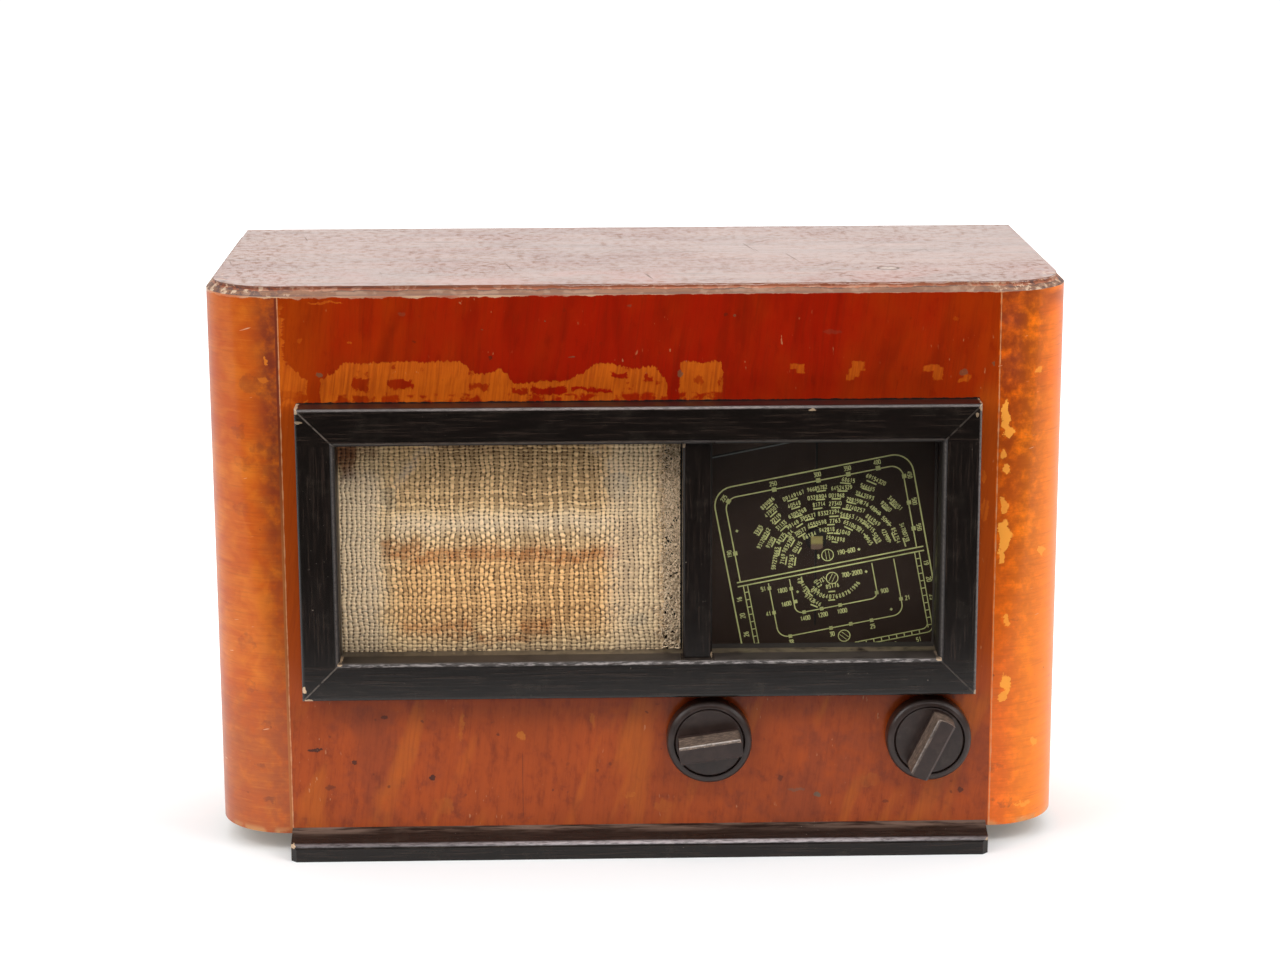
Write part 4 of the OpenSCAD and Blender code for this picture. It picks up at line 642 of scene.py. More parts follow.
def corner_marks(finish, base, place, right, mottle, bare):
    """Lays smudges, flakes, scratches and specks over a corner's colour. Returns it and the flakes."""
    smudges = blots(finish, finish.waver(place, (9.0, 6.0), (2.0, 1.4)), [
        (-160, 203, 5.5, 5.5, 0.55), (-166, 183, 4.0, 2.5, 0.45), (-163, 170, 5.0, 3.0, 0.4),
        (-165, 150, 5.0, 4.0, 0.35), (-158, 176, 3.5, 3.0, 0.45), (-158, 57, 2.6, 1.6, 0.5),
        (-160, 39, 2.2, 1.5, 0.7), (-159, 23, 2.4, 1.2, 0.7), (-166, 92, 4.0, 4.0, 0.4),
        (-163, 72, 3.0, 2.4, 0.4), (155, 19.5, 5.0, 3.0, 0.8), (158, 100, 3.0, 1.2, 0.4),
        (152, 34, 3.0, 2.0, 0.5), (156, 17, 3.0, 1.6, 0.6),
    ])
    smudges = smudges * mottle.fade(0.34, 0.62)
    base = finish.mix(smudges * 0.75, base, (0.14, 0.03, 0.014))
    ragged = finish.waver(place, (6.0, 3.0), (2.4, 1.6), (0.9, 0.7))
    flakes = blots(finish, ragged, [
        (152.6, 188, 2.0, 6.5, 1), (153.8, 181, 2.6, 2.6, 1), (151.6, 172, 1.4, 2.0, 0.8),
        (153.6, 165, 1.8, 3.2, 0.9), (152.4, 150, 1.6, 3.2, 0.8), (153.4, 137, 2.8, 7.5, 1),
        (152.4, 128, 1.8, 3.5, 1), (154.6, 100, 1.6, 2.6, 0.8), (155.4, 72, 2.6, 5.0, 1),
        (154.4, 66, 2.2, 2.4, 0.9), (170, 128, 1.6, 1.8, 0.8), (166, 206, 2.0, 1.0, 0.7),
        (-152.6, 214, 0.8, 2.2, 0.9), (-154.6, 205, 2.2, 1.4, 0.5), (169, 44, 1.6, 1.4, 0.7),
        (164, 17, 4.0, 0.8, 0.6),
    ])
    flaked = finish.mix(right, finish.mix(mottle, bare, (0.78, 0.25, 0.02)), (0.92, 0.36, 0.045))
    base = finish.mix(flakes * 0.9, base, flaked)
    scratches = finish.noise(finish.turned(place, (0, 14, 0)), 0.8, detail=1.0, stretch=(0.10, 0.10, 1))
    scratches = scratches.fade(0.755, 0.775) * finish.noise(place, 18.0).fade(0.5, 0.58)
    base = finish.mix(scratches * 0.7, base, (0.72, 0.42, 0.24))
    specks = finish.cells(finish.waver(place, (8.0, 3.0)), 6.0).fade(0.11, 0.05)
    base = finish.mix(specks * finish.noise(place, 22.0).fade(0.52, 0.62) * 0.5, base, (0.08, 0.018, 0.008))
    return base, flakes


def corner_veneer(wood):
    """Bent sides: bright orange with the grain running round the corner; bare plywood inside."""
    finish = Finish("corner_veneer")
    place = finish.place()
    x, y, z = finish.split(place)
    around = finish.node("ShaderNodeCombineXYZ", sockets={0: y, 1: x, 2: z})
    figure, fibres, pores = wood_grain(finish, around, "x", ring=9.0)
    lines = finish.noise(place, 0.9, rough=0.65, stretch=(0.06, 0.06, 1))
    clouds = finish.noise(place, 22.0, detail=4.0, rough=0.6, stretch=(0.5, 0.3, 1))
    mottle = finish.noise(place, 6.0, detail=4.0, rough=0.65)
    right = x.fade(-10, 10)
    ruddy = (figure * 0.6 + clouds * 0.5).fade(0.38, 0.68) * (1 - right * 0.85)
    base = finish.mix(ruddy, wood.corner, times(wood.corner, 0.80, 0.55, 0.35))
    redder = z.fade(150, 205) * 0.45 + (clouds - 0.5) * 0.7 - right * 0.05
    base = finish.mix(
        redder.fade(0.1, 0.9) * 0.75, base, finish.mix(right, (0.44, 0.062, 0.006), (0.66, 0.085, 0.004))
    )
    brown = z.fade(95, 45) * 0.7 + (mottle - 0.5) * (0.9 - right * 0.6) + (clouds - 0.5) * 0.5 - right * 0.8
    base = finish.layers(
        base,
        (brown.fade(0.2, 0.9) * 0.7, (0.33, 0.075, 0.020)),
        (lines.fade(0.46, 0.76) * 0.26, (0.22, 0.035, 0.008)),
        (lines.fade(0.44, 0.26) * 0.20, (0.72, 0.25, 0.035)),
    )
    near_seam = x.fade(-163, -150.5) * y.fade(14, 0)
    shade = near_seam * (z.fade(60, 215) * 0.50 + 0.36) * mottle.fade(0.20, 0.62)
    base = finish.mix(shade, base, (0.13, 0.022, 0.014))
    vivid = finish.mix(x.fade(152, 165), (1.42, 1.04, 0.25), (1.52, 1.45, 0.35))
    base = finish.stain(right, base, vivid)
    # Painted reflection: a soft purplish-pink highlight beside the right seam, near the top.
    purple_reflection = x.inside(150, 159, 3.0) * (1 - abs(x).fade(161, 164)) * z.fade(196, 212) * right
    base = finish.mix(purple_reflection * clouds.fade(0.25, 0.80) * 0.6, base, (0.24, 0.055, 0.035))
    # Painted shade: the right corner's top end darkened at the front, beside the seam.
    painted_end_shade = x.fade(149, 152) * y.fade(60, 8) * z.fade(229, 238) * right * clouds.fade(0.35, 0.6)
    base = finish.mix(painted_end_shade * 0.6, base, (0.16, 0.018, 0.010))
    base, flakes = corner_marks(finish, base, place, right, mottle, wood.bare)
    foot = z.fade(BASE + 3.2, BASE + 0.6) * finish.noise(place, 9.0, detail=4.0).fade(0.42, 0.6)
    base = finish.layers(
        base,
        (foot * 0.7, (0.50, 0.26, 0.10)),
        (seam_line(finish, x, place) * y.fade(2, 1) * 0.7, (0.60, 0.30, 0.14)),
        (top_lip(finish, z, place), (0.62, 0.40, 0.25)),
    )
    dx = (abs(x) - BEND_MIDDLE[0]).most(0.0)
    dy = (BEND_MIDDLE[1] - y).most(0.0)
    radius = dx.hypot(dy)
    outer_face = radius.fade(30.0, 30.5)
    plies = (radius * (2 * math.pi / 1.5)).sine().fade(-0.4, 0.4)
    ply = finish.mix(fibres.fade(0.3, 0.7), (0.46, 0.31, 0.17), (0.38, 0.24, 0.12))
    ply = finish.mix(plies * 0.35, ply, (0.26, 0.15, 0.07))
    base = finish.mix(outer_face, ply, base)
    height = lines * 0.3 + figure * 0.1 - flakes * 0.5 - pores * 0.2
    return finish.surface(
        Base_Color=base,
        Roughness=0.26 + clouds * 0.10 + flakes * 0.2 + (1 - outer_face) * 0.3,
        Normal=finish.bump(height, 0.10, 0.7),
        Coat_Weight=(0.24 - flakes * 0.20) * outer_face,
        Coat_Roughness=0.14,
        Specular_IOR_Level=0.2,
    )


def top_veneer(wood):
    """Top board: reddish varnish gone milky, with scratches, a ring mark and a worn, stepped front edge."""
    finish = Finish("top_veneer")
    place = finish.place()
    x, y, z = finish.split(place)
    figure, fibres, pores = wood_grain(finish, place, "x", ring=10.0)
    streaks = finish.noise(place, 3.5, detail=5.0, rough=0.7, stretch=(0.10, 1, 1))
    clouds = finish.noise(place, 45.0, detail=5.0, rough=0.65, stretch=(0.6, 1, 1))
    base = finish.mix(figure.fade(0.3, 0.7), wood.top, times(wood.top, 0.72))
    base = finish.layers(
        base,
        (clouds.fade(0.42, 0.66) * 0.6, times(wood.top, 0.7, 0.42, 0.36)),
        (streaks.fade(0.55, 0.75) * 0.5, (0.075, 0.025, 0.020)),
    )
    warm = y.fade(62, 14) * finish.noise(place, 26.0).fade(0.42, 0.64)
    base = finish.mix(warm * 0.55, base, (0.36, 0.085, 0.035))
    scratches = []
    for angle, size, cut_at in ((10, 1.4, 0.735), (-50, 1.2, 0.745), (80, 1.5, 0.75), (33, 1.1, 0.75)):
        line = finish.noise(finish.turned(place, (0, 0, angle)), size, detail=1.0, stretch=(0.025, 1, 1))
        scratches.append(line.fade(cut_at, cut_at + 0.015))
    scratches = reduce(Value.most, scratches) * finish.noise(place, 40.0).fade(0.46, 0.56)
    base = finish.mix(scratches * 0.8, base, (0.09, 0.04, 0.03))
    dx, dy = x - 106.9, y - 39.9
    far = dx.hypot(dy) + finish.noise(place, 3.0, detail=2.0) * 0.8
    ring = far.inside(4.2, 5.3, 0.35)
    base = finish.layers(
        base,
        (ring * 0.8, (0.07, 0.04, 0.03)),
        (far.fade(3.9, 3.4) * 0.45, (0.55, 0.42, 0.32)),
    )
    dents = finish.cells(finish.waver(place, (9.0, 3.0)), 26.0).fade(0.05, 0.03)
    base = finish.mix(dents * 0.7, base, (0.08, 0.035, 0.025))

    on_edge = z.fade(TOP - 0.12, TOP - 0.35)
    ragged = finish.waver(place, (8.0, 1.0), (1.4, 0.35))
    _, _, rz = finish.split(ragged)
    strip = finish.mix(streaks.fade(0.35, 0.65), (0.36, 0.12, 0.055), (0.25, 0.065, 0.025))
    strip = finish.layers(
        strip,
        (x.fade(0, -100) * 0.6, (0.19, 0.045, 0.016)),
        (finish.noise(place, 4.0, detail=4.0).fade(0.52, 0.6) * 0.5, (0.48, 0.27, 0.18)),
    )
    grey = finish.mix(streaks.fade(0.3, 0.7), (0.25, 0.115, 0.062), (0.16, 0.068, 0.036))
    grey = finish.mix(finish.noise(place, 7.0, detail=4.0).fade(0.50, 0.60) * 0.4, grey, (0.36, 0.23, 0.16))
    side = finish.mix(rz.fade(TOP - 1.7, TOP - 1.95), strip, grey)
    side = finish.mix(
        rz.inside(TOP - 2.15, TOP - 1.8, 0.12) * streaks.fade(0.36, 0.5) * 0.8, side, (0.07, 0.035, 0.025)
    )
    # A line along the top rim: dark on the left, a painted highlight on the right.
    rim_line_and_highlight = finish.mix(x.fade(-90, 10), (0.09, 0.035, 0.03), (0.62, 0.42, 0.36))
    side = finish.layers(
        side,
        (rz.inside(TOP - 0.60, TOP - 0.25, 0.12) * streaks.fade(0.38, 0.5), rim_line_and_highlight),
        (rz.fade(WALL_TOP + 0.75, WALL_TOP + 0.3) * 0.6, (0.15, 0.08, 0.055)),
    )
    ends = abs(x).fade(120, 165) * (y.fade(70, 15) * 0.75 + 0.25)
    knocks = finish.noise(place, 4.5, detail=4.0, rough=0.65)
    side = finish.layers(
        side,
        (ends * knocks.fade(0.52, 0.58) * 0.8, (0.08, 0.04, 0.035)),
        (ends * knocks.fade(0.46, 0.40) * 0.7, (0.62, 0.46, 0.32)),
    )
    base = finish.mix(on_edge, base, side)
    rim_cut = (abs(x).fade(166, 172) * y.fade(60, 10)).most(x.fade(118, 130) * y.fade(5.5, 3.0))
    rim = finish.noise(place, 3.6, detail=4.0, rough=0.6)
    base = finish.layers(
        base,
        (rim_cut * (1 - on_edge) * rim.fade(0.54, 0.60) * 0.8, (0.12, 0.06, 0.05)),
        (rim_cut * (1 - on_edge) * rim.fade(0.42, 0.36) * 0.6, (0.66, 0.42, 0.24)),
    )

    specks = finish.noise(place, 2.2, detail=5.0, rough=0.75, stretch=(0.6, 0.7, 1))
    crowd = clouds.fade(0.36, 0.60).most(x.fade(-95, -165)).most(y.fade(95, 150) * 0.7)
    marks = (specks.fade(0.47, 0.62) * (0.30 + crowd * 0.70)).most(scratches).most(ring).most(dents * 0.8)
    marks = marks.most(streaks.fade(0.60, 0.72) * 0.5) * (1 - on_edge)
    base = finish.mix(marks * 0.5, base, (0.17, 0.11, 0.075))
    height = fibres * 0.25 + figure * 0.15 - pores * 0.3 - scratches * 0.4
    height = height + on_edge * knocks * 0.3 - marks * 0.2
    return finish.surface(
        Base_Color=base,
        Roughness=0.33 + clouds * 0.12 + on_edge * 0.25 + marks * 0.35,
        Normal=finish.bump(height, 0.09, 0.7),
        Coat_Weight=(0.97 - clouds.fade(0.45, 0.75) * 0.16) * (1 - marks * 0.8) * (1 - on_edge),
        Coat_Roughness=0.24,
    )


def black_lacquer(wood, name="black_lacquer", shine=0.33):
    """Black lacquer over open-grained wood: mitre lines, painted highlights along the edges and pale chips at
    the corners.
    """
    finish = Finish(name)
    place = finish.place()
    x, y, z = finish.split(place)
    along = finish.noise(place, 0.9, rough=0.6, stretch=(0.05, 1, 1))
    up = finish.noise(place, 0.9, rough=0.6, stretch=(1, 1, 0.05))
    upright = abs(x).fade(125.5, 126.5) * abs(z - FRAME_MID).fade(FRAME_HALF - 15, FRAME_HALF - 16)
    upright = upright.most(x.inside(*BAR, 0.5) * z.inside(86, 180, 1))
    grain = along * (1 - upright) + up * upright
    dust = finish.noise(place, 10.0, detail=5.0, rough=0.7)
    base = finish.mix(grain.fade(0.45, 0.75), wood.lacquer, (0.020, 0.013, 0.010))
    base = finish.mix(dust.fade(0.5, 0.8) * 0.06, base, (0.20, 0.16, 0.12))
    size = abs(x)
    mitre_up = abs(size - z + (LINTEL - WINDOW_HALF)).fade(0.7, 0.15) * z.fade(LINTEL - 0.5, LINTEL)
    mitre_down = abs(size + z - (SILL + WINDOW_HALF)).fade(0.7, 0.15) * z.fade(SILL, SILL - 0.5)
    mitre = mitre_up.most(mitre_down * z.fade(70.0, 70.5)) * size.fade(124.5, 125.5)
    worn = finish.noise(place, 3.0).fade(0.3, 0.55)
    base = finish.mix(mitre * worn * (0.20 + x.fade(0, -50) * 0.28), base, (0.20, 0.165, 0.14))

    # Noise that breaks up the painted highlights along the edges below.
    rub_and_sheen = finish.noise(place, 0.9, detail=4.0, rough=0.7, stretch=(0.22, 1, 1))
    shimmer = rub_and_sheen.fade(0.30, 0.62) * 0.7 + 0.3
    proud = y.fade(-10.4, -11.4)
    # Painted highlight along the sill's front edge, brighter to the right.
    sill_edge_highlight = abs(z - (SILL - 0.7)).fade(0.9, 0.3) * y.fade(-9.6, -10.6) * size.fade(127, 125)
    glint = rub_and_sheen.fade(0.44, 0.60) * 0.85 + 0.15
    base = finish.mix(sill_edge_highlight * glint * (0.38 + x.fade(-125, 20) * 0.12), base, (0.60, 0.54, 0.52))
    # Painted highlight along the frame's upper front edge, brighter in the middle.
    frame_top_highlight = abs(z - (FRAME_TOP - 0.7)).fade(0.7, 0.25) * proud * size.fade(142, 141)
    base = finish.mix(frame_top_highlight * shimmer * (0.22 + x.inside(-75, 60, 30) * 0.25), base, (0.38, 0.31, 0.29))
    # Painted highlight along the window's inner edges: under the top member and up both sides.
    inner = (abs(z - (LINTEL + 0.9)).fade(1.1, 0.5) * size.fade(126.5, 125)).most(
        abs(size - 126.0).fade(0.8, 0.3) * z.inside(SILL, LINTEL, 0.8)) * proud
    base = finish.mix(inner * shimmer * 0.42, base, (0.20, 0.17, 0.155))
    # Painted highlight along the frame's right outer edge.
    outer = abs(x - (FRAME_RIGHT - 0.6)).fade(0.7, 0.25) * proud * z.inside(FRAME_FOOT, FRAME_TOP, 0.5)
    base = finish.mix(outer * shimmer * 0.35, base, (0.30, 0.25, 0.23))
    # Painted highlight along the plinth's upper front edge, brighter in the middle.
    plinth_edge_highlight = abs(z - PLINTH_EDGE).fade(0.75, 0.2) * y.fade(-4.0, -5.0)
    base = finish.mix(plinth_edge_highlight * shimmer * (0.35 + x.inside(-60, 110, 40) * 0.5), base, (0.50, 0.45, 0.46))
    slope = z.inside(PLINTH_EDGE + 0.6, PLINTH + 0.5, 0.3)
    smear = finish.noise(place, 3.0, detail=4.0, rough=0.6, stretch=(0.10, 1, 1)).fade(0.42, 0.66)
    base = finish.mix(
        slope * (0.05 + z.fade(PLINTH - 2.6, PLINTH - 0.4) * 0.7 * smear), base, (0.20, 0.135, 0.105)
    )
    ledge = z.inside(FRAME_TOP - 0.25, FRAME_TOP + 1.0, 0.1)
    reveal = y.fade(-11.7, -11.3) * size.fade(126.5, 126.0) * z.inside(SILL - 0.5, LINTEL + 1.0, 0.3)
    reveal = reveal * (1 - x.inside(BAR[0], BAR[1] + 0.5, 0.3))
    chips = blots(finish, finish.waver(place, (1.6, 0.7)), [
        (-140.3, 75.8, 0.9, 1.5, 1), (-138.4, 71.3, 1.9, 0.8, 1), (-125.3, 86.6, 1.0, 1.0, 0.9),
        (-141, 194.6, 1.2, 1.6, 0.6), (-139.5, 190, 1.8, 0.6, 0.4), (141.0, 194, 1.2, 1.8, 0.5),
        (139, 191, 0.8, 1.0, 0.4), (125.4, 86.4, 1.2, 0.8, 0.8), (141, 72, 0.8, 1.0, 0.5),
        (-147.4, 6.5, 1.4, 1.0, 0.9), (-148.6, 4.0, 0.8, 1.5, 0.6), (71, 193.6, 1.6, 0.5, 0.6),
        (18.4, 178.2, 0.8, 1.2, 0.5), (30.6, 88.4, 1.0, 1.6, 0.5), (147.6, 6.2, 0.9, 0.8, 0.6),
    ])
    base = finish.mix(chips * 0.9, base, (0.62, 0.44, 0.28))
    nicks = finish.noise(place, 1.1, detail=2.0).fade(0.735, 0.76) * finish.noise(place, 22.0).fade(0.5, 0.58)
    base = finish.mix(nicks * 0.5, base, (0.30, 0.25, 0.20))
    sill_top = z.inside(SILL - 0.5, SILL + 0.4, 0.2) * y.fade(-11.5, -10.5)
    dusty = finish.mix(x.fade(-125, 10), (0.030, 0.021, 0.015), (0.044, 0.034, 0.028))
    base = finish.mix(sill_top * dust.fade(0.2, 0.6) * 0.9, base, dusty)
    height = grain + dust * 0.4
    return finish.surface(
        Base_Color=base,
        Roughness=0.16 + dust * 0.10 + grain * 0.04 + chips * 0.3 + ledge * 0.12 + reveal * 0.35,
        Normal=finish.bump(height, 0.04, 0.7),
        Coat_Weight=0.15 * (1 - ledge.most(reveal)),
        Coat_Roughness=0.12,
        Specular_IOR_Level=shine,
    )


def plain_wood(name, tint, fibre_axis):
    """Bare board: fibres along one axis, darker lines between them."""
    finish = Finish(name)
    place = finish.place()
    figure, fibres, pores = wood_grain(finish, place, fibre_axis, ring=14.0)
    base = finish.mix(figure, tint, times(tint, 0.72))
    base = finish.mix(fibres.fade(0.5, 0.8) * 0.4, base, times(tint, 0.45))
    stains = finish.noise(place, 30.0, detail=4.0, rough=0.65).fade(0.55, 0.75)
    base = finish.mix(stains * 0.35, base, times(tint, 0.35))
    return finish.surface(
        Base_Color=base, Roughness=0.62 + fibres * 0.2, Normal=finish.bump(fibres - pores * 0.4, 0.15, 0.8)
    )


def pressed_board():
    """Brown hardboard, smooth with a faint felt of fibres and darker stains."""
    finish = Finish("pressed_board")
    place = finish.place()
    felt = finish.noise(place, 1.2, detail=4.0, rough=0.7)
    stain = finish.noise(place, 50.0, detail=4.0)
    base = finish.mix(felt, (0.16, 0.085, 0.045), (0.22, 0.13, 0.075))
    base = finish.mix(stain.fade(0.5, 0.75) * 0.6, base, (0.085, 0.045, 0.024))
    return finish.surface(Base_Color=base, Roughness=0.55 + felt * 0.3, Normal=finish.bump(felt, 0.1, 0.6))


# Metals and mouldings


def metal(name, tint, rough, brushed=None, metallic=1.0, dull=(0.12, 0.10, 0.08)):
    """Metal with brushing along one axis and dull patches."""
    finish = Finish(name)
    place = finish.place()
    factors = {"x": (0.05, 1, 1), "y": (1, 0.05, 1), "z": (1, 1, 0.05), None: (1, 1, 1)}[brushed]
    lines = finish.noise(place, 0.6, rough=0.6, stretch=factors)
    patches = finish.noise(place, 20.0, detail=5.0, rough=0.65)
    base = finish.mix(lines * 0.5, tint, times(tint, 0.8))
    base = finish.mix(patches.fade(0.52, 0.72) * 0.5, base, dull)
    return finish.surface(
        Base_Color=base,
        Metallic=metallic - patches.fade(0.55, 0.75) * (0.4 * metallic),
        Roughness=rough + patches * 0.2 + lines * 0.08,
        Normal=finish.bump(lines, 0.03, 0.5),
    )


def painted(name, tint, rough=0.5, speck=0.0, dusty=(0.20, 0.17, 0.13)):
    """Paint with a faint orange-peel and dust."""
    finish = Finish(name)
    place = finish.place()
    peel = finish.noise(place, 1.5, detail=2.0)
    dust = finish.noise(place, 20.0, detail=5.0, rough=0.7)
    base = finish.mix(dust.fade(0.5, 0.75) * (0.14 + speck), tint, dusty)
    return finish.surface(Base_Color=base, Roughness=rough + dust * 0.2, Normal=finish.bump(peel, 0.03, 0.5))


def laminate():
    """Brown laminated board with the paper's faint mottling."""
    finish = Finish("laminate")
    place = finish.place()
    mottle = finish.noise(place, 2.0, detail=4.0, rough=0.7)
    base = finish.mix(mottle.fade(0.3, 0.7), (0.16, 0.065, 0.022), (0.27, 0.13, 0.05))
    return finish.surface(
        Base_Color=base, Roughness=0.38 + mottle * 0.15, Normal=finish.bump(mottle, 0.03, 0.4)
    )


def thin_glass(name, tint, alpha, streak=0.0):
    """Blown glass: mostly clear, smeared in places."""
    finish = Finish(name)
    place = finish.place()
    smear = finish.noise(place, 10.0, detail=4.0)
    base = finish.mix(smear.fade(0.45, 0.7) * 0.5, tint, times(tint, 0.7))
    return finish.surface(Base_Color=base, Roughness=0.05 + smear * 0.1, Alpha=alpha + smear * streak)


def moulded_resin(knob):
    """Dark moulding: satin, with patches of dust; the grip's upper flank lighter, partly worn and partly
    painted light, and a painted highlight on its edge.
    """
    finish = Finish("moulded_resin")
    place = finish.place()
    _, y, _ = finish.split(place)
    swirl = finish.noise(finish.waver(place, (10.0, 4.0)), 4.0, detail=4.0, rough=0.6)
    rub_and_sheen = finish.noise(place, 2.2, detail=5.0, rough=0.7)
    base = finish.mix(swirl.fade(0.35, 0.7), knob.body, times(knob.body, 1.5))
    proud = y.fade(-10.5, -12.0)
    # The grips' upward-facing flanks are painted lighter: partly worn, dulled moulding and partly painted
    # light from above.
    facing = finish.node("ShaderNodeTexCoord", output=1)
    upward = finish.split(facing)[2].fade(0.18, 0.45)
    scuffs = finish.noise(place, 0.8, detail=4.0, rough=0.75, stretch=(0.35, 1, 0.35)).fade(0.42, 0.66)
    worn = finish.mix(scuffs, times(knob.worn, 0.55), times(knob.worn, 2.3))
    base = finish.mix(proud * upward * (0.70 + rub_and_sheen * 0.5), base, worn)
    # Painted highlight along the grip's upper front edge.
    rim = y.inside(-22.3, -21.7, 0.2) * upward
    base = finish.mix(rim * rub_and_sheen.fade(0.3, 0.6) * 0.7, base, (0.52, 0.46, 0.42))
    dust = finish.noise(place, 6.0, detail=5.0, rough=0.7).fade(0.5, 0.8)
    base = finish.mix(dust * 0.10, base, (0.20, 0.16, 0.13))
    return finish.surface(
        Base_Color=base,
        Roughness=0.28 + rub_and_sheen * 0.16 + proud * 0.06,
        Normal=finish.bump(rub_and_sheen * 0.6 + swirl * 0.4, 0.03, 0.6),
        Coat_Weight=0.06,
        Coat_Roughness=0.15,
        Specular_IOR_Level=0.38,
    )


def paper_cone():
    """Black paper pulp with fine felted fibres and pressed rings."""
    finish = Finish("paper_cone")
    place = finish.place()
    x, _, z = finish.split(place)
    dx, dz = x - SPEAKER[0], z - SPEAKER[1]
    far = dx.hypot(dz)
    felt = finish.noise(place, 0.8, rough=0.7)
    rings = (far * (2 * math.pi / 2.5)).sine()
    base = finish.mix(felt, (0.018, 0.016, 0.014), (0.05, 0.045, 0.04))
    height = rings * 0.5 + felt * 0.4
    return finish.surface(Base_Color=base, Roughness=0.75 + felt * 0.15, Normal=finish.bump(height, 0.2, 0.6))


def wound_paper():
    """Waxed paper over a winding: ridges of the wire below show through."""
    finish = Finish("wound_paper")
    place = finish.place()
    _, _, z = finish.split(place)
    ridges = (z * (2 * math.pi / 0.9)).sine()
    wax = finish.noise(place, 10.0, detail=5.0)
    base = finish.mix(wax.fade(0.35, 0.7), (0.34, 0.19, 0.07), (0.20, 0.10, 0.035))
    return finish.surface(
        Base_Color=base, Roughness=0.42 + wax * 0.2, Normal=finish.bump(ridges * 0.4 + wax * 0.3, 0.1, 0.5)
    )


def stacked_iron():
    """Varnished iron sheets: thin lines across the stack."""
    finish = Finish("stacked_iron")
    place = finish.place()
    _, y, _ = finish.split(place)
    sheets = (y * (2 * math.pi / 0.7)).sine()
    rust = finish.noise(place, 12.0, detail=5.0, rough=0.7).fade(0.55, 0.7)
    base = finish.mix(sheets.fade(-0.2, 0.8), (0.05, 0.05, 0.052), (0.12, 0.12, 0.125))
    base = finish.mix(rust * 0.6, base, (0.18, 0.07, 0.025))
    return finish.surface(
        Base_Color=base,
        Metallic=0.5 - rust * 0.4,
        Roughness=0.48 + rust * 0.3,
        Normal=finish.bump(sheets, 0.05, 0.8),
    )


def braided_cord():
    """Waxed braid: small slanted strands."""
    finish = Finish("braided_cord")
    x, y, z = finish.split(finish.place())
    strands = ((x + z + y * 0.4) * (2 * math.pi / 0.6)).sine()
    base = finish.mix(strands.fade(-0.5, 0.8), (0.12, 0.08, 0.035), (0.30, 0.21, 0.10))
    return finish.surface(
        Base_Color=base, Roughness=0.7 + strands * 0.1, Normal=finish.bump(strands, 0.08, 0.8)
    )


def pointer_paint():
    """Cream paint on the boss, dark on the needle."""
    finish = Finish("pointer_paint")
    place = finish.place()
    x, _, z = finish.split(place)
    dx, dz = x - HUB[0], z - HUB[1]
    far = dx.hypot(dz)
    grime = finish.noise(place, 2.0, detail=4.0)
    cream = finish.mix(dz.fade(-2.6, -1.2), (0.42, 0.27, 0.18), (0.80, 0.68, 0.22))
    cream = finish.mix(grime.fade(0.45, 0.75) * 0.6, cream, (0.45, 0.33, 0.12))
    cap = far.fade(4.7, 4.4) * (dx - 0.3).inside(-2.5, 2.5, 0.3) * (dz + 1.4).inside(-2.9, 2.9, 0.3)
    base = finish.mix(cap, (0.03, 0.026, 0.022), cream)
    return finish.surface(Base_Color=base, Roughness=0.45 + grime * 0.2)


# Cloth


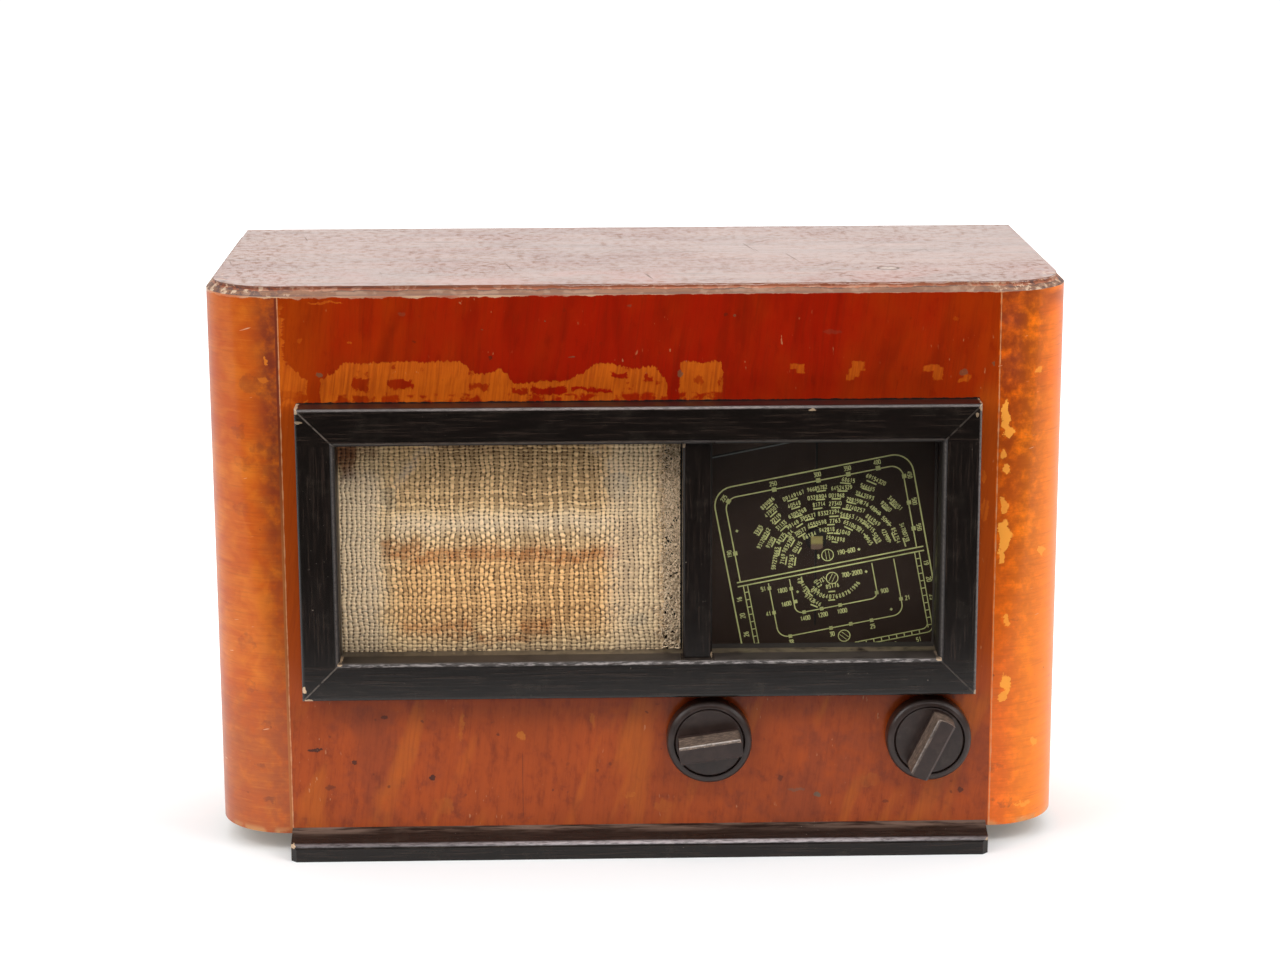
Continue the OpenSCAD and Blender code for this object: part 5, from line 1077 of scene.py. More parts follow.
def cloth_stains(finish, base, place, far, gap):
    """Lays the stains, the loudspeaker's ring and pale patches over the weave's colour, with painted shadow
    along the top under the frame and a darkening along the bottom edge.
    """
    pz = finish.split(place)[2]
    rag = finish.waver(place, (22.0, 5.0), (6.0, 2.6), (1.6, 0.9))
    warm = patches_of(finish, rag, [
        (-104, -10, 94, 131, 0.55), (-100, -4, 124, 133, 0.4), (-128, -100, 84, 130, 0.10),
        (-20, 4, 95, 140, 0.15),
    ], 9.0)
    base = finish.stain(warm, base, (0.96, 0.64, 0.31))
    rust = patches_of(finish, rag, [
        (-107, -92, 127.5, 136, 0.70), (-98, -52, 125.0, 131.0, 0.72), (-56, -6, 125.0, 131.5, 0.75),
        (-101, -79, 95, 99.5, 0.55), (-82, -70, 92.0, 98.0, 0.8), (-70, -46, 89.0, 93.0, 0.75),
        (-50, -37, 93, 101, 0.7),
    ], 1.8)
    rust = rust * finish.noise(rag, 3.0, detail=4.0, rough=0.7).fade(0.25, 0.62)
    base = finish.stain(rust, base, (0.52, 0.24, 0.07))
    # Brown stains, save the faint band along the top (z 174.6 to 184), which is painted shadow under the
    # frame's top member.
    brown = patches_of(finish, rag, [
        (-130, -118, 168, 186, 1.0), (-124, -117, 161, 170, 0.9), (-118, -107, 170, 182, 0.45),
        (-127, -10, 174.6, 184, 0.3),
    ], 1.8)
    base = finish.stain(brown * 0.9, base, (0.26, 0.11, 0.06))
    grey = patches_of(finish, rag, [(-104, -10, 148, 182, 0.60)], 4.0)
    base = finish.stain(grey, base, (0.84, 0.74, 0.60))
    blue = blots(finish, rag, [
        (-104, 153.5, 4.0, 5.5, 0.7), (-98, 166, 4.0, 5.0, 0.5), (-9, 157, 6.0, 5.5, 0.7),
        (-1, 99.6, 4.5, 3.5, 0.7),
    ])
    base = finish.stain(blue * 0.75, base, (0.55, 0.62, 0.74))
    rim = far.inside(53, 57, 1.6) * pz.fade(150, 165) * 0.7
    rim = rim * finish.noise(place, 6.0, detail=4.0, rough=0.7).fade(0.3, 0.7)
    base = finish.mix(rim * 0.42, base, (0.60, 0.50, 0.42))
    # Pale patches on the threads' tops: a band across the middle and zones by the left and right edges.
    pale_patches = patches_of(finish, rag, [
        (-104, -6, 139.0, 145.5, 0.36), (-13, 18, 84, 180, 0.26), (-128, -108, 84, 164, 0.42),
    ], 4.0)
    return finish.layers(
        base,
        (pale_patches * (1 - gap.fade(0.3, 0.6)), (0.88, 0.71, 0.52)),
        # Darker along the bottom edge, just above the sill.
        (pz.fade(SILL + 6, SILL + 1) * 0.35, (0.20, 0.15, 0.10)),
    )


def cloth_finish(cloth):
    """Coarse burlap. At (u, v) in threads, an upright thread stands sin(pi u) ** 0.45 high and a level one
    sin(pi v) ** 0.45, each raised where it runs over the other and lowered where it runs under; the higher
    of the two shows. Every thread has a brightness of its own, and stains lie over the weave."""
    finish = Finish("grille_weave")
    place = finish.place()
    px, _, pz = finish.split(place)
    drift = finish.waver(place, (17.0, 2.0), (4.5, 0.8), (1.4, 0.34))
    pitch = cloth.pitch / MM
    ux, _, uz = finish.split(finish.stretch(drift, (1.0 / pitch, 1.0, LEVEL_THREADS / pitch)))
    iu, iv = finish.math("FLOOR", ux), finish.math("FLOOR", uz)
    fu, fv = ux - iu, uz - iv
    odd = finish.math("PINGPONG", iu + iv, 1.0) * 2 - 1
    hill_u, hill_v = (fu * math.pi).sine(), (fv * math.pi).sine()
    upright = hill_u.power(0.45) * (0.76 + odd * hill_v * 0.24)
    level = hill_v.power(0.45) * (0.70 - odd * hill_u * 0.24)
    shows = (upright - level).fade(-0.12, 0.12)
    height = upright.most(level)
    own_u = finish.node("ShaderNodeTexWhiteNoise", {"noise_dimensions": "1D"}, {"W": iu})
    own_v = finish.node("ShaderNodeTexWhiteNoise", {"noise_dimensions": "1D"}, {"W": iv + 311.0})
    slub_u = finish.noise(place, 0.9, detail=4.0, rough=0.7, stretch=(1, 1, 0.16))
    slub_v = finish.noise(place, 0.9, detail=4.0, rough=0.7, stretch=(0.16, 1, 1))

    dx, dz = px - SPEAKER[0], pz - SPEAKER[1]
    far = dx.hypot(dz) + finish.noise(place, 14.0) * 4.0 - 2.0
    outside = far.fade(50, 58)
    upper_half = pz.fade(143, 148)
    bright_u = own_u * 0.70 - 0.12 + slub_u * 1.1 + outside * 0.36 + (1 - upper_half) * 0.16
    bright_v = own_v * 0.58 - 0.09 + slub_v * 1.1 + outside * 0.16 - (1 - upper_half) * 0.10
    bright = bright_u * shows + bright_v * (1 - shows)
    pale = times(cloth.thread, 1.36, 1.48, 1.62)
    dark = times(cloth.thread, 0.55)
    base = finish.mix(bright.fade(0.35, 1.20), dark, pale)
    # Painted shade: the threads darken down their rounded sides.
    base = finish.mix(height.fade(0.92, 0.55) * 0.40, base, times(cloth.thread, 0.36))
    uneven = finish.noise(place, 3.2, detail=5.0, rough=0.7)
    # Painted shade in the grooves between upright threads and between level ones.
    between = (1 - hill_u).fade(0.62, 0.95) * finish.noise(place, 2.0, stretch=(1, 1, 0.22)).fade(0.42, 0.62)
    between = between * (0.72 - upper_half * 0.35)
    across = (1 - hill_v).fade(0.70, 0.98) * finish.noise(place, 2.0, stretch=(0.22, 1, 1)).fade(0.46, 0.64)
    across = across * (0.15 + upper_half * 0.40)
    base = finish.mix(between.most(across), base, (0.10, 0.055, 0.025))
    # Holes of the weave painted dark: partly the dark parts behind the cloth, partly painted shade.
    gap = (1 - hill_u) * (1 - hill_v).power(0.5)
    base = finish.mix(
        (gap + uneven * 1.6).fade(1.06, 1.42) * (0.92 - outside * 0.22), base, (0.085, 0.044, 0.019)
    )

    base = cloth_stains(finish, base, place, far, gap)
    return finish.surface(
        Base_Color=base,
        Roughness=0.9 - height * 0.1,
        Normal=finish.bump(height - gap * 0.5, 0.5, 1.0),
        Sheen_Weight=0.15,
        Sheen_Roughness=0.5,
        Specular_IOR_Level=0.2,
    )


def cloth_points(columns, rows):
    """Stretched cloth: a flat grid over the CAD cloth, drawn towards the loudspeaker's hole by 0.2 mm times
    cos squared of the distance, and rippled by sines of a few hundredths. Its left edge is notched round
    each corner screw by 8.5 mm times cos(h) ** 0.6 of the height h from the screw. The right edge lies 0.8
    mm inside the CAD cloth's and wavers by two sines of 0.4 mm."""
    u, v = np.meshgrid(np.linspace(0, 1, columns), np.linspace(0, 1, rows))
    low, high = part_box("grille_cloth")
    z = low[2] + v * (high[2] - low[2])
    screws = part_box("baffle_screws")
    notch = np.zeros_like(z)
    for middle in (screws[0][2] + SCREW_INSET * MM, screws[1][2] - SCREW_INSET * MM):
        near = np.clip(np.abs(z - middle) / (5.5 * MM), 0, 1)
        notch = np.maximum(notch, 8.5 * MM * np.cos(near * np.pi / 2) ** 0.6)
    edge = 0.4 * MM * (np.sin(z * 1700) + np.sin(z * 2900 + 1)) - 0.8 * MM
    x = low[0] + notch + u * (high[0] + edge - low[0] - notch)
    far = np.hypot(x - SPEAKER[0] * MM, z - SPEAKER[1] * MM) / (CONE_RADIUS * MM)
    sag = np.where(far < 1, np.cos(np.minimum(far, 1) * np.pi / 2) ** 2, 0.0) * 0.2 * MM
    ripple = 0.05 * MM * np.sin(x * 260 + 0.7 * np.sin(z * 90)) + 0.04 * MM * np.sin(z * 210 + x * 30)
    y = low[1] + 0.15 * MM + sag + ripple
    front = np.stack([x, y, z], axis=-1)
    back = front + [0, 0.3 * MM, 0]
    return front, back


def closed_sheet(name, front, back):
    """Front and back grids joined round their edges."""
    rows, columns = front.shape[:2]
    index = np.arange(rows * columns).reshape(rows, columns)
    quads_front = np.stack([index[:-1, :-1], index[:-1, 1:], index[1:, 1:], index[1:, :-1]], axis=-1)
    quads_front = quads_front.reshape(-1, 4)
    quads_back = quads_front[:, ::-1] + rows * columns
    edge = np.concatenate([index[0, :], index[1:, -1], index[-1, -2::-1], index[-2:0:-1, 0]])
    after = np.roll(edge, -1)
    sides = np.stack([edge, edge + rows * columns, after + rows * columns, after], axis=-1)
    points = np.concatenate([front.reshape(-1, 3), back.reshape(-1, 3)])
    return new_mesh(name, points, np.concatenate([quads_front, quads_back, sides]))


def loose_fibres(count):
    """Short frayed fibres at the cloth's right edge. Fibre k starts at a seeded place by the edge. At step
    t it has gone the sum of (cos, sin) of heading + turn * t + 0.5 sin(1.3 t + phase). Each is a square
    tube: its four corners stand a radius from the path, and both ends are closed."""
    seed = np.random.default_rng(11)
    steps = 9
    low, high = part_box("grille_cloth")
    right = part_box("mullion")[0][0] - 0.5 * MM
    start_x = high[0] - seed.uniform(-5.2, 2.6, count) * MM
    start_z = seed.uniform(SILL + 1.0, LINTEL - 1.0, count) * MM
    heading = seed.normal(-0.2, 0.95, count)
    turn = seed.normal(0.0, 0.35, count)
    reach = seed.uniform(3.0, 8.5, count) * MM / steps
    t = np.arange(steps)
    angle = heading[:, None] + turn[:, None] * t + 0.5 * np.sin(t * 1.3 + seed.uniform(0, 6, count)[:, None])
    x = start_x[:, None] + np.cumsum(np.cos(angle), axis=1) * reach[:, None]
    z = start_z[:, None] + np.cumsum(np.sin(angle), axis=1) * reach[:, None]
    x = np.minimum(x, right - 0.5 * MM * np.abs(np.sin(t * 2.1)))
    z = np.clip(z, (SILL + 0.5) * MM, (LINTEL - 0.5) * MM)
    y = low[1] - (0.25 + seed.uniform(0, 1.0, count)[:, None] * (t / steps)) * MM
    path = np.stack([x, y, z], axis=-1)
    radius = seed.uniform(0.13, 0.25, count)[:, None, None, None] * MM
    along = np.gradient(path, axis=1)
    along /= np.linalg.norm(along, axis=-1, keepdims=True) + 1e-9
    side = np.cross(along, [0.0, 1.0, 0.0])
    side /= np.linalg.norm(side, axis=-1, keepdims=True) + 1e-9
    up = np.cross(side, along)
    a = np.arange(4) * np.pi / 2
    ring = side[:, :, None] * np.cos(a)[:, None] + up[:, :, None] * np.sin(a)[:, None]
    points = (path[:, :, None] + ring * radius).reshape(-1, 3)
    i, j = np.meshgrid(np.arange(steps - 1), np.arange(4), indexing="ij")
    wall = np.stack([i * 4 + j, (i + 1) * 4 + j, (i + 1) * 4 + (j + 1) % 4, i * 4 + (j + 1) % 4], axis=-1)
    last = (steps - 1) * 4
    one = np.concatenate([wall.reshape(-1, 4), [[0, 1, 2, 3], [last + 3, last + 2, last + 1, last]]])
    faces = (one[None] + (np.arange(count) * steps * 4)[:, None, None]).reshape(-1, 4)
    return new_mesh("loose_fibres", points, faces)


def fibre_finish(cloth):
    """Pale frayed fibres, each a little brighter or darker than the next."""
    finish = Finish("loose_fibre")
    place = finish.place()
    change = finish.noise(place, 1.1, detail=4.0, rough=0.75)
    pale = times(cloth.thread, 1.16, 1.40, 1.95)
    base = finish.mix(change.fade(0.35, 0.56), times(cloth.thread, 0.36), pale)
    return finish.surface(Base_Color=base, Roughness=0.85 - change * 0.1, Specular_IOR_Level=0.2)


# Dial


# Short plain numbers of the dial's fan, and the bars under them: (u, v, width, lean in degrees), in
# millimetres from the print's middle, along and square to its level lines.
FAN_NUMBERS = [
    (1.3, 28.3, 8.7, -1), (0.6, 24.6, 8.4, -3), (0.8, 21.3, 5.5, -3), (4.2, 17, 9.4, -3),
    (-1.5, 13.3, 8.4, 1), (6.1, 12.9, 4.9, -6), (2.1, 9.8, 6.8, -6), (8.7, 7.4, 6.2, -24),
    (4.9, 5.2, 8.5, -20), (11.5, 26.5, 9.1, -8), (8.8, 23.6, 6.8, -11), (7.6, 20.3, 5.5, -8),
    (14.9, 29.2, 5.8, -20), (15.6, 20.1, 6.5, -22), (19.8, 17.9, 3.9, -32), (15.6, 16.4, 8.5, -27),
    (11.6, 14.2, 6.2, -24), (13, 9.5, 8.2, -37), (15.9, 6.8, 3.6, -47), (20.4, 21.2, 8.5, -30),
    (22.3, 24.5, 6.5, -30), (26.4, 27.1, 9.2, -37), (23.7, 14.1, 5.6, -52), (28.5, 14.8, 5.7, -54),
    (32.5, 15.4, 8, -56), (22, 10, 7.3, -47), (19.9, 7.4, 6, -54), (16.6, 11.1, 4.6, -42),
    (27.4, 8.6, 4.7, -57), (18.6, 1.8, 5, -66), (22.3, 2.1, 5, -66), (26.3, 2.3, 6.4, -73),
    (30.4, 1.5, 7.4, -79), (34.2, 2.1, 8.8, -81), (-9.1, 27.2, 9.7, 11), (-9.5, 23.3, 5.8, 9),
    (-8.9, 19.4, 8.4, 14), (-4.8, 16.8, 7.1, 7), (-11.7, 14.8, 5.8, 19), (-9.1, 11.2, 5.5, 19),
    (-5.6, 8.8, 6.2, 11), (-20.5, 26.1, 7.1, 32), (-19.5, 22.5, 7.2, 32), (-18.2, 18.9, 5.2, 30),
    (-16.6, 15.5, 5.2, 30), (-26.5, 15.4, 4.9, 45), (-24.9, 11.4, 9.9, 52), (-22.4, 9.1, 5.3, 50),
    (-17.6, 9.9, 5.6, 45), (-13.7, 11.1, 3.9, 40), (-15.2, 6.7, 7.9, 50), (-11.6, 4.9, 5.3, 45),
    (-21.7, 1.8, 10, 70), (-18.6, 0.9, 4.7, 72), (-15.3, -0.8, 6, 72),
]
FAN_BARS = [
    (2.8, 26.8, 3.9, -3), (1.8, 23.2, 3.9, -6), (0, 19.6, 3.9, -3), (6.1, 14.9, 3.9, -8),
    (-3.6, 12.2, 3.9, 3), (4.2, 11.6, 3.2, -8), (3.2, 8, 2.6, -8), (6, 7.3, 2.6, -17), (4.4, 3.8, 2.6, -20),
    (11.6, 25, 4.2, -11), (8.4, 22.2, 3.9, -11), (7.5, 18.5, 3.9, -11), (13.4, 28.1, 4.5, -17),
    (14.4, 19.2, 4.2, -24), (12, 16.8, 3.9, -22), (10.4, 13.3, 3.9, -24), (11.2, 8.5, 4, -37),
    (18.8, 21.2, 3.9, -30), (21.5, 23.7, 3.9, -30), (24.3, 26.2, 4.6, -34), (24.5, 12.9, 3.3, -54),
    (27.7, 14, 3.3, -54), (31.4, 14.6, 4, -56), (20.9, 9.2, 3.3, -50), (18.5, 8.7, 3.3, -47),
    (28.2, 7.4, 3.3, -59), (17.9, 3.4, 3.4, -66), (21.4, 0.9, 3, -69), (27, 0.8, 4, -73), (29.3, 1, 4, -77),
    (33.4, -2.2, 4, -83), (-9.8, 25.5, 4.5, 7), (-9.1, 21.8, 3.9, 7), (-8.8, 18, 3.9, 9),
    (-4.3, 15.6, 3.9, 5), (-8.9, 13.9, 3.2, 22), (-8.8, 9.5, 3.6, 20), (-19.8, 24.6, 3.9, 32),
    (-18.8, 21, 3.9, 32), (-17.8, 17.4, 3.3, 32), (-15.8, 14, 3.6, 32), (-25.7, 14.3, 3.6, 48),
    (-23.1, 12, 3.6, 50), (-21.1, 8.6, 4, 52), (-16, 9.6, 3.6, 45), (-13.2, 6.9, 3.6, 50),
    (-10.9, 3.1, 3, 50), (-19.3, 4.4, 4, 66), (-17.3, -0.1, 3.7, 70), (-13.6, -1.2, 3.7, 72),
]
LOW_NUMBERS = [
    (-3.7, -11.4, 3.3, 30), (-5.9, -12.7, 4, -57), (-7.3, -15.2, 4, -42), (0, -14.9, 5.9, -1),
    (-12, -12.5, 4.7, -70), (-13.3, -9.8, 2.7, -86), (-11.3, -15.4, 3.4, -57), (-10.5, -18.3, 4.7, -47),
    (-7.7, -20.9, 4, -42),
]
LOW_BARS = [
    (-0.7, -17.3, 2.9, -6), (-1.4, -21, 2.9, -6), (-12.3, -9.7, 2.7, -91), (-10.5, -14.2, 3, -67),
    (-9.2, -22, 3.3, -34), (-9.9, -16.7, 2.7, -52),
]


class Print:
    """Collects flat printed shapes on the glass, at (u, v) in millimetres from the print's middle."""

    def __init__(self, tilt):
        self.points, self.faces, self.count = [], [], 0
        self.tilt = tilt
        self.middle = (GLASS[0] - 0.85 * math.sin(tilt), GLASS[1] + 0.85 * math.cos(tilt))

    def spot(self, uv):
        """(u, v) turned by the slip and moved to the glass, just proud of its front face."""
        uv = np.asarray(uv, dtype=float)
        c, s = math.cos(self.tilt), math.sin(self.tilt)
        x = self.middle[0] + uv[..., 0] * c - uv[..., 1] * s
        z = self.middle[1] + uv[..., 0] * s + uv[..., 1] * c
        return np.stack([x * MM, np.full_like(x, GLASS_FRONT - 0.03 * MM), z * MM], axis=-1)

    def strip(self, line, width, closed=False):
        """A line of that width: each point moved half a width to both sides, and further where it bends."""
        line = np.asarray(line, dtype=float)
        ahead = np.roll(line, -1, axis=0) - line
        behind = line - np.roll(line, 1, axis=0)
        if not closed:
            ahead[-1] = behind[-1]
            behind[0] = ahead[0]
        ahead /= np.linalg.norm(ahead, axis=1)[:, None]
        behind /= np.linalg.norm(behind, axis=1)[:, None]
        along = ahead + behind
        along /= np.linalg.norm(along, axis=1)[:, None]
        widen = 1 / np.clip((along * ahead).sum(axis=1), 0.5, 1)
        side = np.stack([-along[:, 1], along[:, 0]], axis=-1) * (width / 2 * widen)[:, None]
        ring = np.stack([line + side, line - side], axis=1)
        count = len(line)
        i = np.arange(count if closed else count - 1)
        n = (i + 1) % count
        self.add(ring.reshape(-1, 2), np.stack([2 * i, 2 * i + 1, 2 * n + 1, 2 * n], axis=-1))

    def add(self, uv, faces):
        """Adds points at (u, v) and faces that count from the first of them."""
        self.points.append(self.spot(uv))
        self.faces.append(np.asarray(faces) + self.count)
        self.count += len(uv)

    def block(self, u, v, wide, high, angle=0.0):
        """A filled bar centred at (u, v)."""
        corners = np.array([[-wide, -high], [wide, -high], [wide, high], [-wide, high]]) / 2
        self.add(turned_about(corners, angle) + [u, v], [[0, 1, 2, 3]])

    def slotted_disc(self, u, v, radius, slot_angle, line):
        """A ringed dot with a slot across it, like a screw's head."""
        a = np.radians(np.arange(0, 360, 15))
        ring = np.stack([u + radius * np.cos(a), v + radius * np.sin(a)], axis=-1)
        self.strip(ring, line, closed=True)
        for side in (-0.28, 0.28):
            bar = np.array([[side * radius, -0.75 * radius], [side * radius, 0.75 * radius]])
            self.strip(turned_about(bar, slot_angle) + [u, v], line * 0.6)

    def digits(self, text, u, v, size, angle=0.0, gap=0.62, weight=0.20):
        """Plain numbers drawn with straight strokes in a cell 0.42 of their height wide."""
        total = len(text) * gap * size - (gap - 0.42) * size
        for index, letter in enumerate(text):
            for stroke in STROKES[letter]:
                line = np.array(stroke, dtype=float) * [0.42 * size, size]
                line += [index * gap * size - total / 2, -size / 2]
                self.strip(turned_about(line, angle) + [u, v], size * weight)

    def mesh(self):
        return new_mesh("dial_print", np.concatenate(self.points), np.concatenate(self.faces))


def turned_about(points, degrees):
    """Points turned about the origin."""
    c, s = math.cos(math.radians(degrees)), math.sin(math.radians(degrees))
    return np.asarray(points) @ np.array([[c, s], [-s, c]])


STROKES = {
    "0": [[(0, 0.15), (0, 0.85), (0.3, 1), (0.7, 1), (1, 0.85), (1, 0.15), (0.7, 0), (0.3, 0), (0, 0.15)]],
    "1": [[(0.2, 0.75), (0.6, 1), (0.6, 0)]],
    "2": [[(0, 0.8), (0.25, 1), (0.8, 1), (1, 0.75), (0, 0), (1, 0)]],
    "3": [[(0, 1), (1, 1), (0.45, 0.6), (1, 0.45), (1, 0.15), (0.7, 0), (0, 0)]],
    "4": [[(0.7, 0), (0.7, 1), (0, 0.3), (1, 0.3)]],
    "5": [[(1, 1), (0.1, 1), (0, 0.55), (0.8, 0.6), (1, 0.35), (0.8, 0), (0, 0)]],
    "6": [[(0.9, 1), (0.2, 0.75), (0, 0.3), (0.3, 0), (0.8, 0), (1, 0.3), (0.7, 0.55), (0, 0.45)]],
    "7": [[(0, 1), (1, 1), (0.35, 0)]],
    "8": [[(0.5, 0.52), (0.05, 0.75), (0.3, 1), (0.7, 1), (0.95, 0.75), (0.5, 0.52),
           (0, 0.25), (0.3, 0), (0.7, 0), (1, 0.25), (0.5, 0.52)]],
    "9": [[(0.1, 0), (0.8, 0.25), (1, 0.7), (0.7, 1), (0.2, 1), (0, 0.7), (0.3, 0.45), (1, 0.55)]],
    "-": [[(0.1, 0.45), (0.9, 0.45)]],
}


def rounded_corner(u, v, radius, start, stop, steps=8):
    """Points of an arc about (u, v) between two angles in degrees."""
    a = np.radians(np.linspace(start, stop, steps))
    return [(u + radius * math.cos(t), v + radius * math.sin(t)) for t in a]


def frame_line(half, top, foot, radius):
    """Line up the left side, round both top corners and down the right side."""
    left = rounded_corner(-half + radius, top - radius, radius, 180, 90)
    right = rounded_corner(half - radius, top - radius, radius, 90, 0)
    return [(-half, foot)] + left + right + [(half, foot)]


def cup_line(left, right, top, foot, radius):
    """Line down the left side, round both lower corners and up the right side."""
    first = rounded_corner(left + radius, foot + radius, radius, 180, 270)
    second = rounded_corner(right - radius, foot + radius, radius, 270, 360)
    return [(left, top)] + first + second + [(right, top)]


def draw_numbers(art):
    """Seeded short numbers and bars of the fan, and an arc of single digits under the hub."""
    spread = np.random.default_rng(7)
    for u, v, wide, lean in FAN_NUMBERS + LOW_NUMBERS:
        text = "".join(str(d) for d in spread.integers(0, 10, max(2, round(wide / 1.15))))
        art.digits(text, u, v, 1.6, lean, gap=(wide / len(text)) / 1.6, weight=0.19)
    for u, v, wide, lean in FAN_BARS + LOW_BARS:
        art.block(u, v, wide, 0.6, lean)
    arc = np.radians(np.linspace(214, 322, 17))
    for a in arc:
        lean = math.degrees(a) + 90
        u, v = 1.4 + 12.0 * math.cos(a), -9.4 + 10.4 * math.sin(a)
        art.digits(str(spread.integers(0, 10)), u, v, 1.6, lean, weight=0.19)


def draw_dial(dial):
    """The whole print: outer frame, scale frame with marks, divider, lower scales, fan of short numbers."""
    art = Print(dial.tilt)
    line = dial.line / MM
    art.strip(frame_line(42.6, 36.2, -50.5, 8.3), line * 1.15)
    art.strip(frame_line(38.1, 31.5, -5.4, 5.2), line)
    for v in (-5.5, -7.3):
        art.strip([(-39.6, v), (41.0, v)], line * 1.1)

    for text, u, v in (("250", -16.6, 31.4), ("300", 2.4, 31.6), ("350", 15.3, 31.7), ("400", 28.1, 31.8)):
        art.block(u, v, 1.9, 1.9)
        art.digits(text, u, v + 2.6, 1.7)
    art.block(-36.5, 30.2, 1.9, 1.9, 45)
    art.digits("225", -38.2, 31.9, 1.6, 45)
    for text, v in (("450", 26.2), ("500", 14.5), ("550", 3.0)):
        art.block(38.3, v, 1.8, 1.8)
        art.digits(text, 40.7, v + 0.1, 1.7, -90)
    art.block(-37.9, 7.3, 1.8, 1.8)
    art.digits("190", -40.3, 7.5, 1.7, 90)

    for inner, outer, foot in ((-35.4, -37.2, -50.0), (36.9, 38.8, -41.2)):
        art.strip([(inner, -7.6), (inner, foot)], line * 0.85)
        art.strip([(outer, -7.6), (outer, foot)], line * 0.85)
        for v in np.arange(-10.4, foot, -3.3):
            art.strip([(inner, v), (outer, v)], line * 0.85)
    for text, v in (("16", -13.0), ("20", -20.3), ("26", -28.6), ("31", -37.0)):
        art.digits(text, -39.9, v, 1.9, 90)
    for text, v in (("19", -12.8), ("20", -20.2), ("25", -28.2), ("30", -35.4)):
        art.digits(text, 40.9, v, 1.9, -90)
    for v, stop in ((-41.4, 36.9), (-43.2, 38.8)):
        art.strip([(5.0, v)] + rounded_corner(stop - 2.6, v + 2.6, 2.6, 270, 360, 6), line * 0.85)
    for u in np.arange(6.5, 34, 3.3):
        art.strip([(u, -43.2), (u, -41.4)], line * 0.85)
    for text, u in (("41", 10.0), ("49", 21.5), ("51", 32.0)):
        art.digits(text, u, -45.6, 1.8)

    art.strip(cup_line(-26.5, 27.7, -8.4, -33.1, 4.5), line * 0.9)
    art.strip(cup_line(-17.4, 18.2, -8.4, -23.9, 3.0), line * 0.9)
    for u, v, text, du, dv in (
        (-26.5, -10.6, "51", -2.6, 0.2), (-26.5, -21.6, "41", -2.4, 0), (-21.6, -33.2, "38", 0, -2.6),
        (-3.9, -33.1, "30", 0, -2.7), (4.7, -33.0, "", 0, 0), (13.7, -33.2, "25", 0, -2.7),
        (27.7, -26.4, "21", 2.8, 0), (-17.4, -12.6, "1800", -3.9, 0),
        (-16.6, -18.6, "1600", -4.1, -0.2), (-13.9, -23.9, "1400", 0, -2.7), (-6.3, -23.9, "1200", 0, -2.7),
        (1.7, -23.9, "1000", 0.4, -2.7), (18.0, -21.6, "900", 3.4, 0.2),
    ):
        art.block(u, v, 1.5, 1.5)
        if text:
            art.digits(text, u + du, v + dv, 1.75)
    for u, v, slot in ((0.4, -1.2, 0), (0.5, -11.5, -35), (1.0, -37.6, 42)):
        art.slotted_disc(u, v, 2.5, slot, line * 0.8)
    art.digits("8", -3.5, -1.1, 1.7)
    art.digits("190-600", 8.4, -1.1, 1.8)
    art.digits("700-2000", 9.1, -11.2, 1.8)
    for u, v in ((13.9, -1.4), (15.2, -11.6), (-35.4, 16.8), (-15.0, -14.5), (22.8, -30.1)):
        art.block(u, v, 0.95, 0.95, 45)

    draw_numbers(art)
    return art.mesh()


def ink_finish(dial):
    """Pale green ink, thinner and darker in places."""
    finish = Finish("dial_ink")
    place = finish.place()
    thin = finish.noise(place, 4.0, detail=5.0, rough=0.65)
    base = finish.mix(thin.fade(0.40, 0.75) * 0.8, dial.ink, times(dial.ink, 0.6))
    return finish.surface(Base_Color=base, Roughness=0.5 + thin * 0.2)


def glass_finish(dial):
    """Dial glass: clear with a brown cast, faint dust, and pale ground edges."""
    finish = Finish("dial_glass")
    place = finish.place()
    x, _, z = finish.split(place)
    c, s = math.cos(dial.tilt), math.sin(dial.tilt)
    u = (x - GLASS[0]) * c + (z - GLASS[1]) * s
    v = (z - GLASS[1]) * c - (x - GLASS[0]) * s
    edge = abs(u).fade(GLASS_SIZE[0] / 2 - 0.8, GLASS_SIZE[0] / 2 - 0.5)
    edge = edge.most(abs(v).fade(GLASS_SIZE[1] / 2 - 0.8, GLASS_SIZE[1] / 2 - 0.5))
    dust = finish.noise(place, 12.0, detail=6.0, rough=0.7)
    base = finish.mix(dust.fade(0.4, 0.75), (0.020, 0.012, 0.010), (0.045, 0.030, 0.025))
    return finish.surface(
        Base_Color=finish.mix(edge * 0.8, base, (0.20, 0.21, 0.20)),
        Roughness=0.05 + dust * 0.08,
        Alpha=(0.22 + dust.fade(0.5, 0.8) * 0.10).most(edge * 0.85),
    )


# Operators


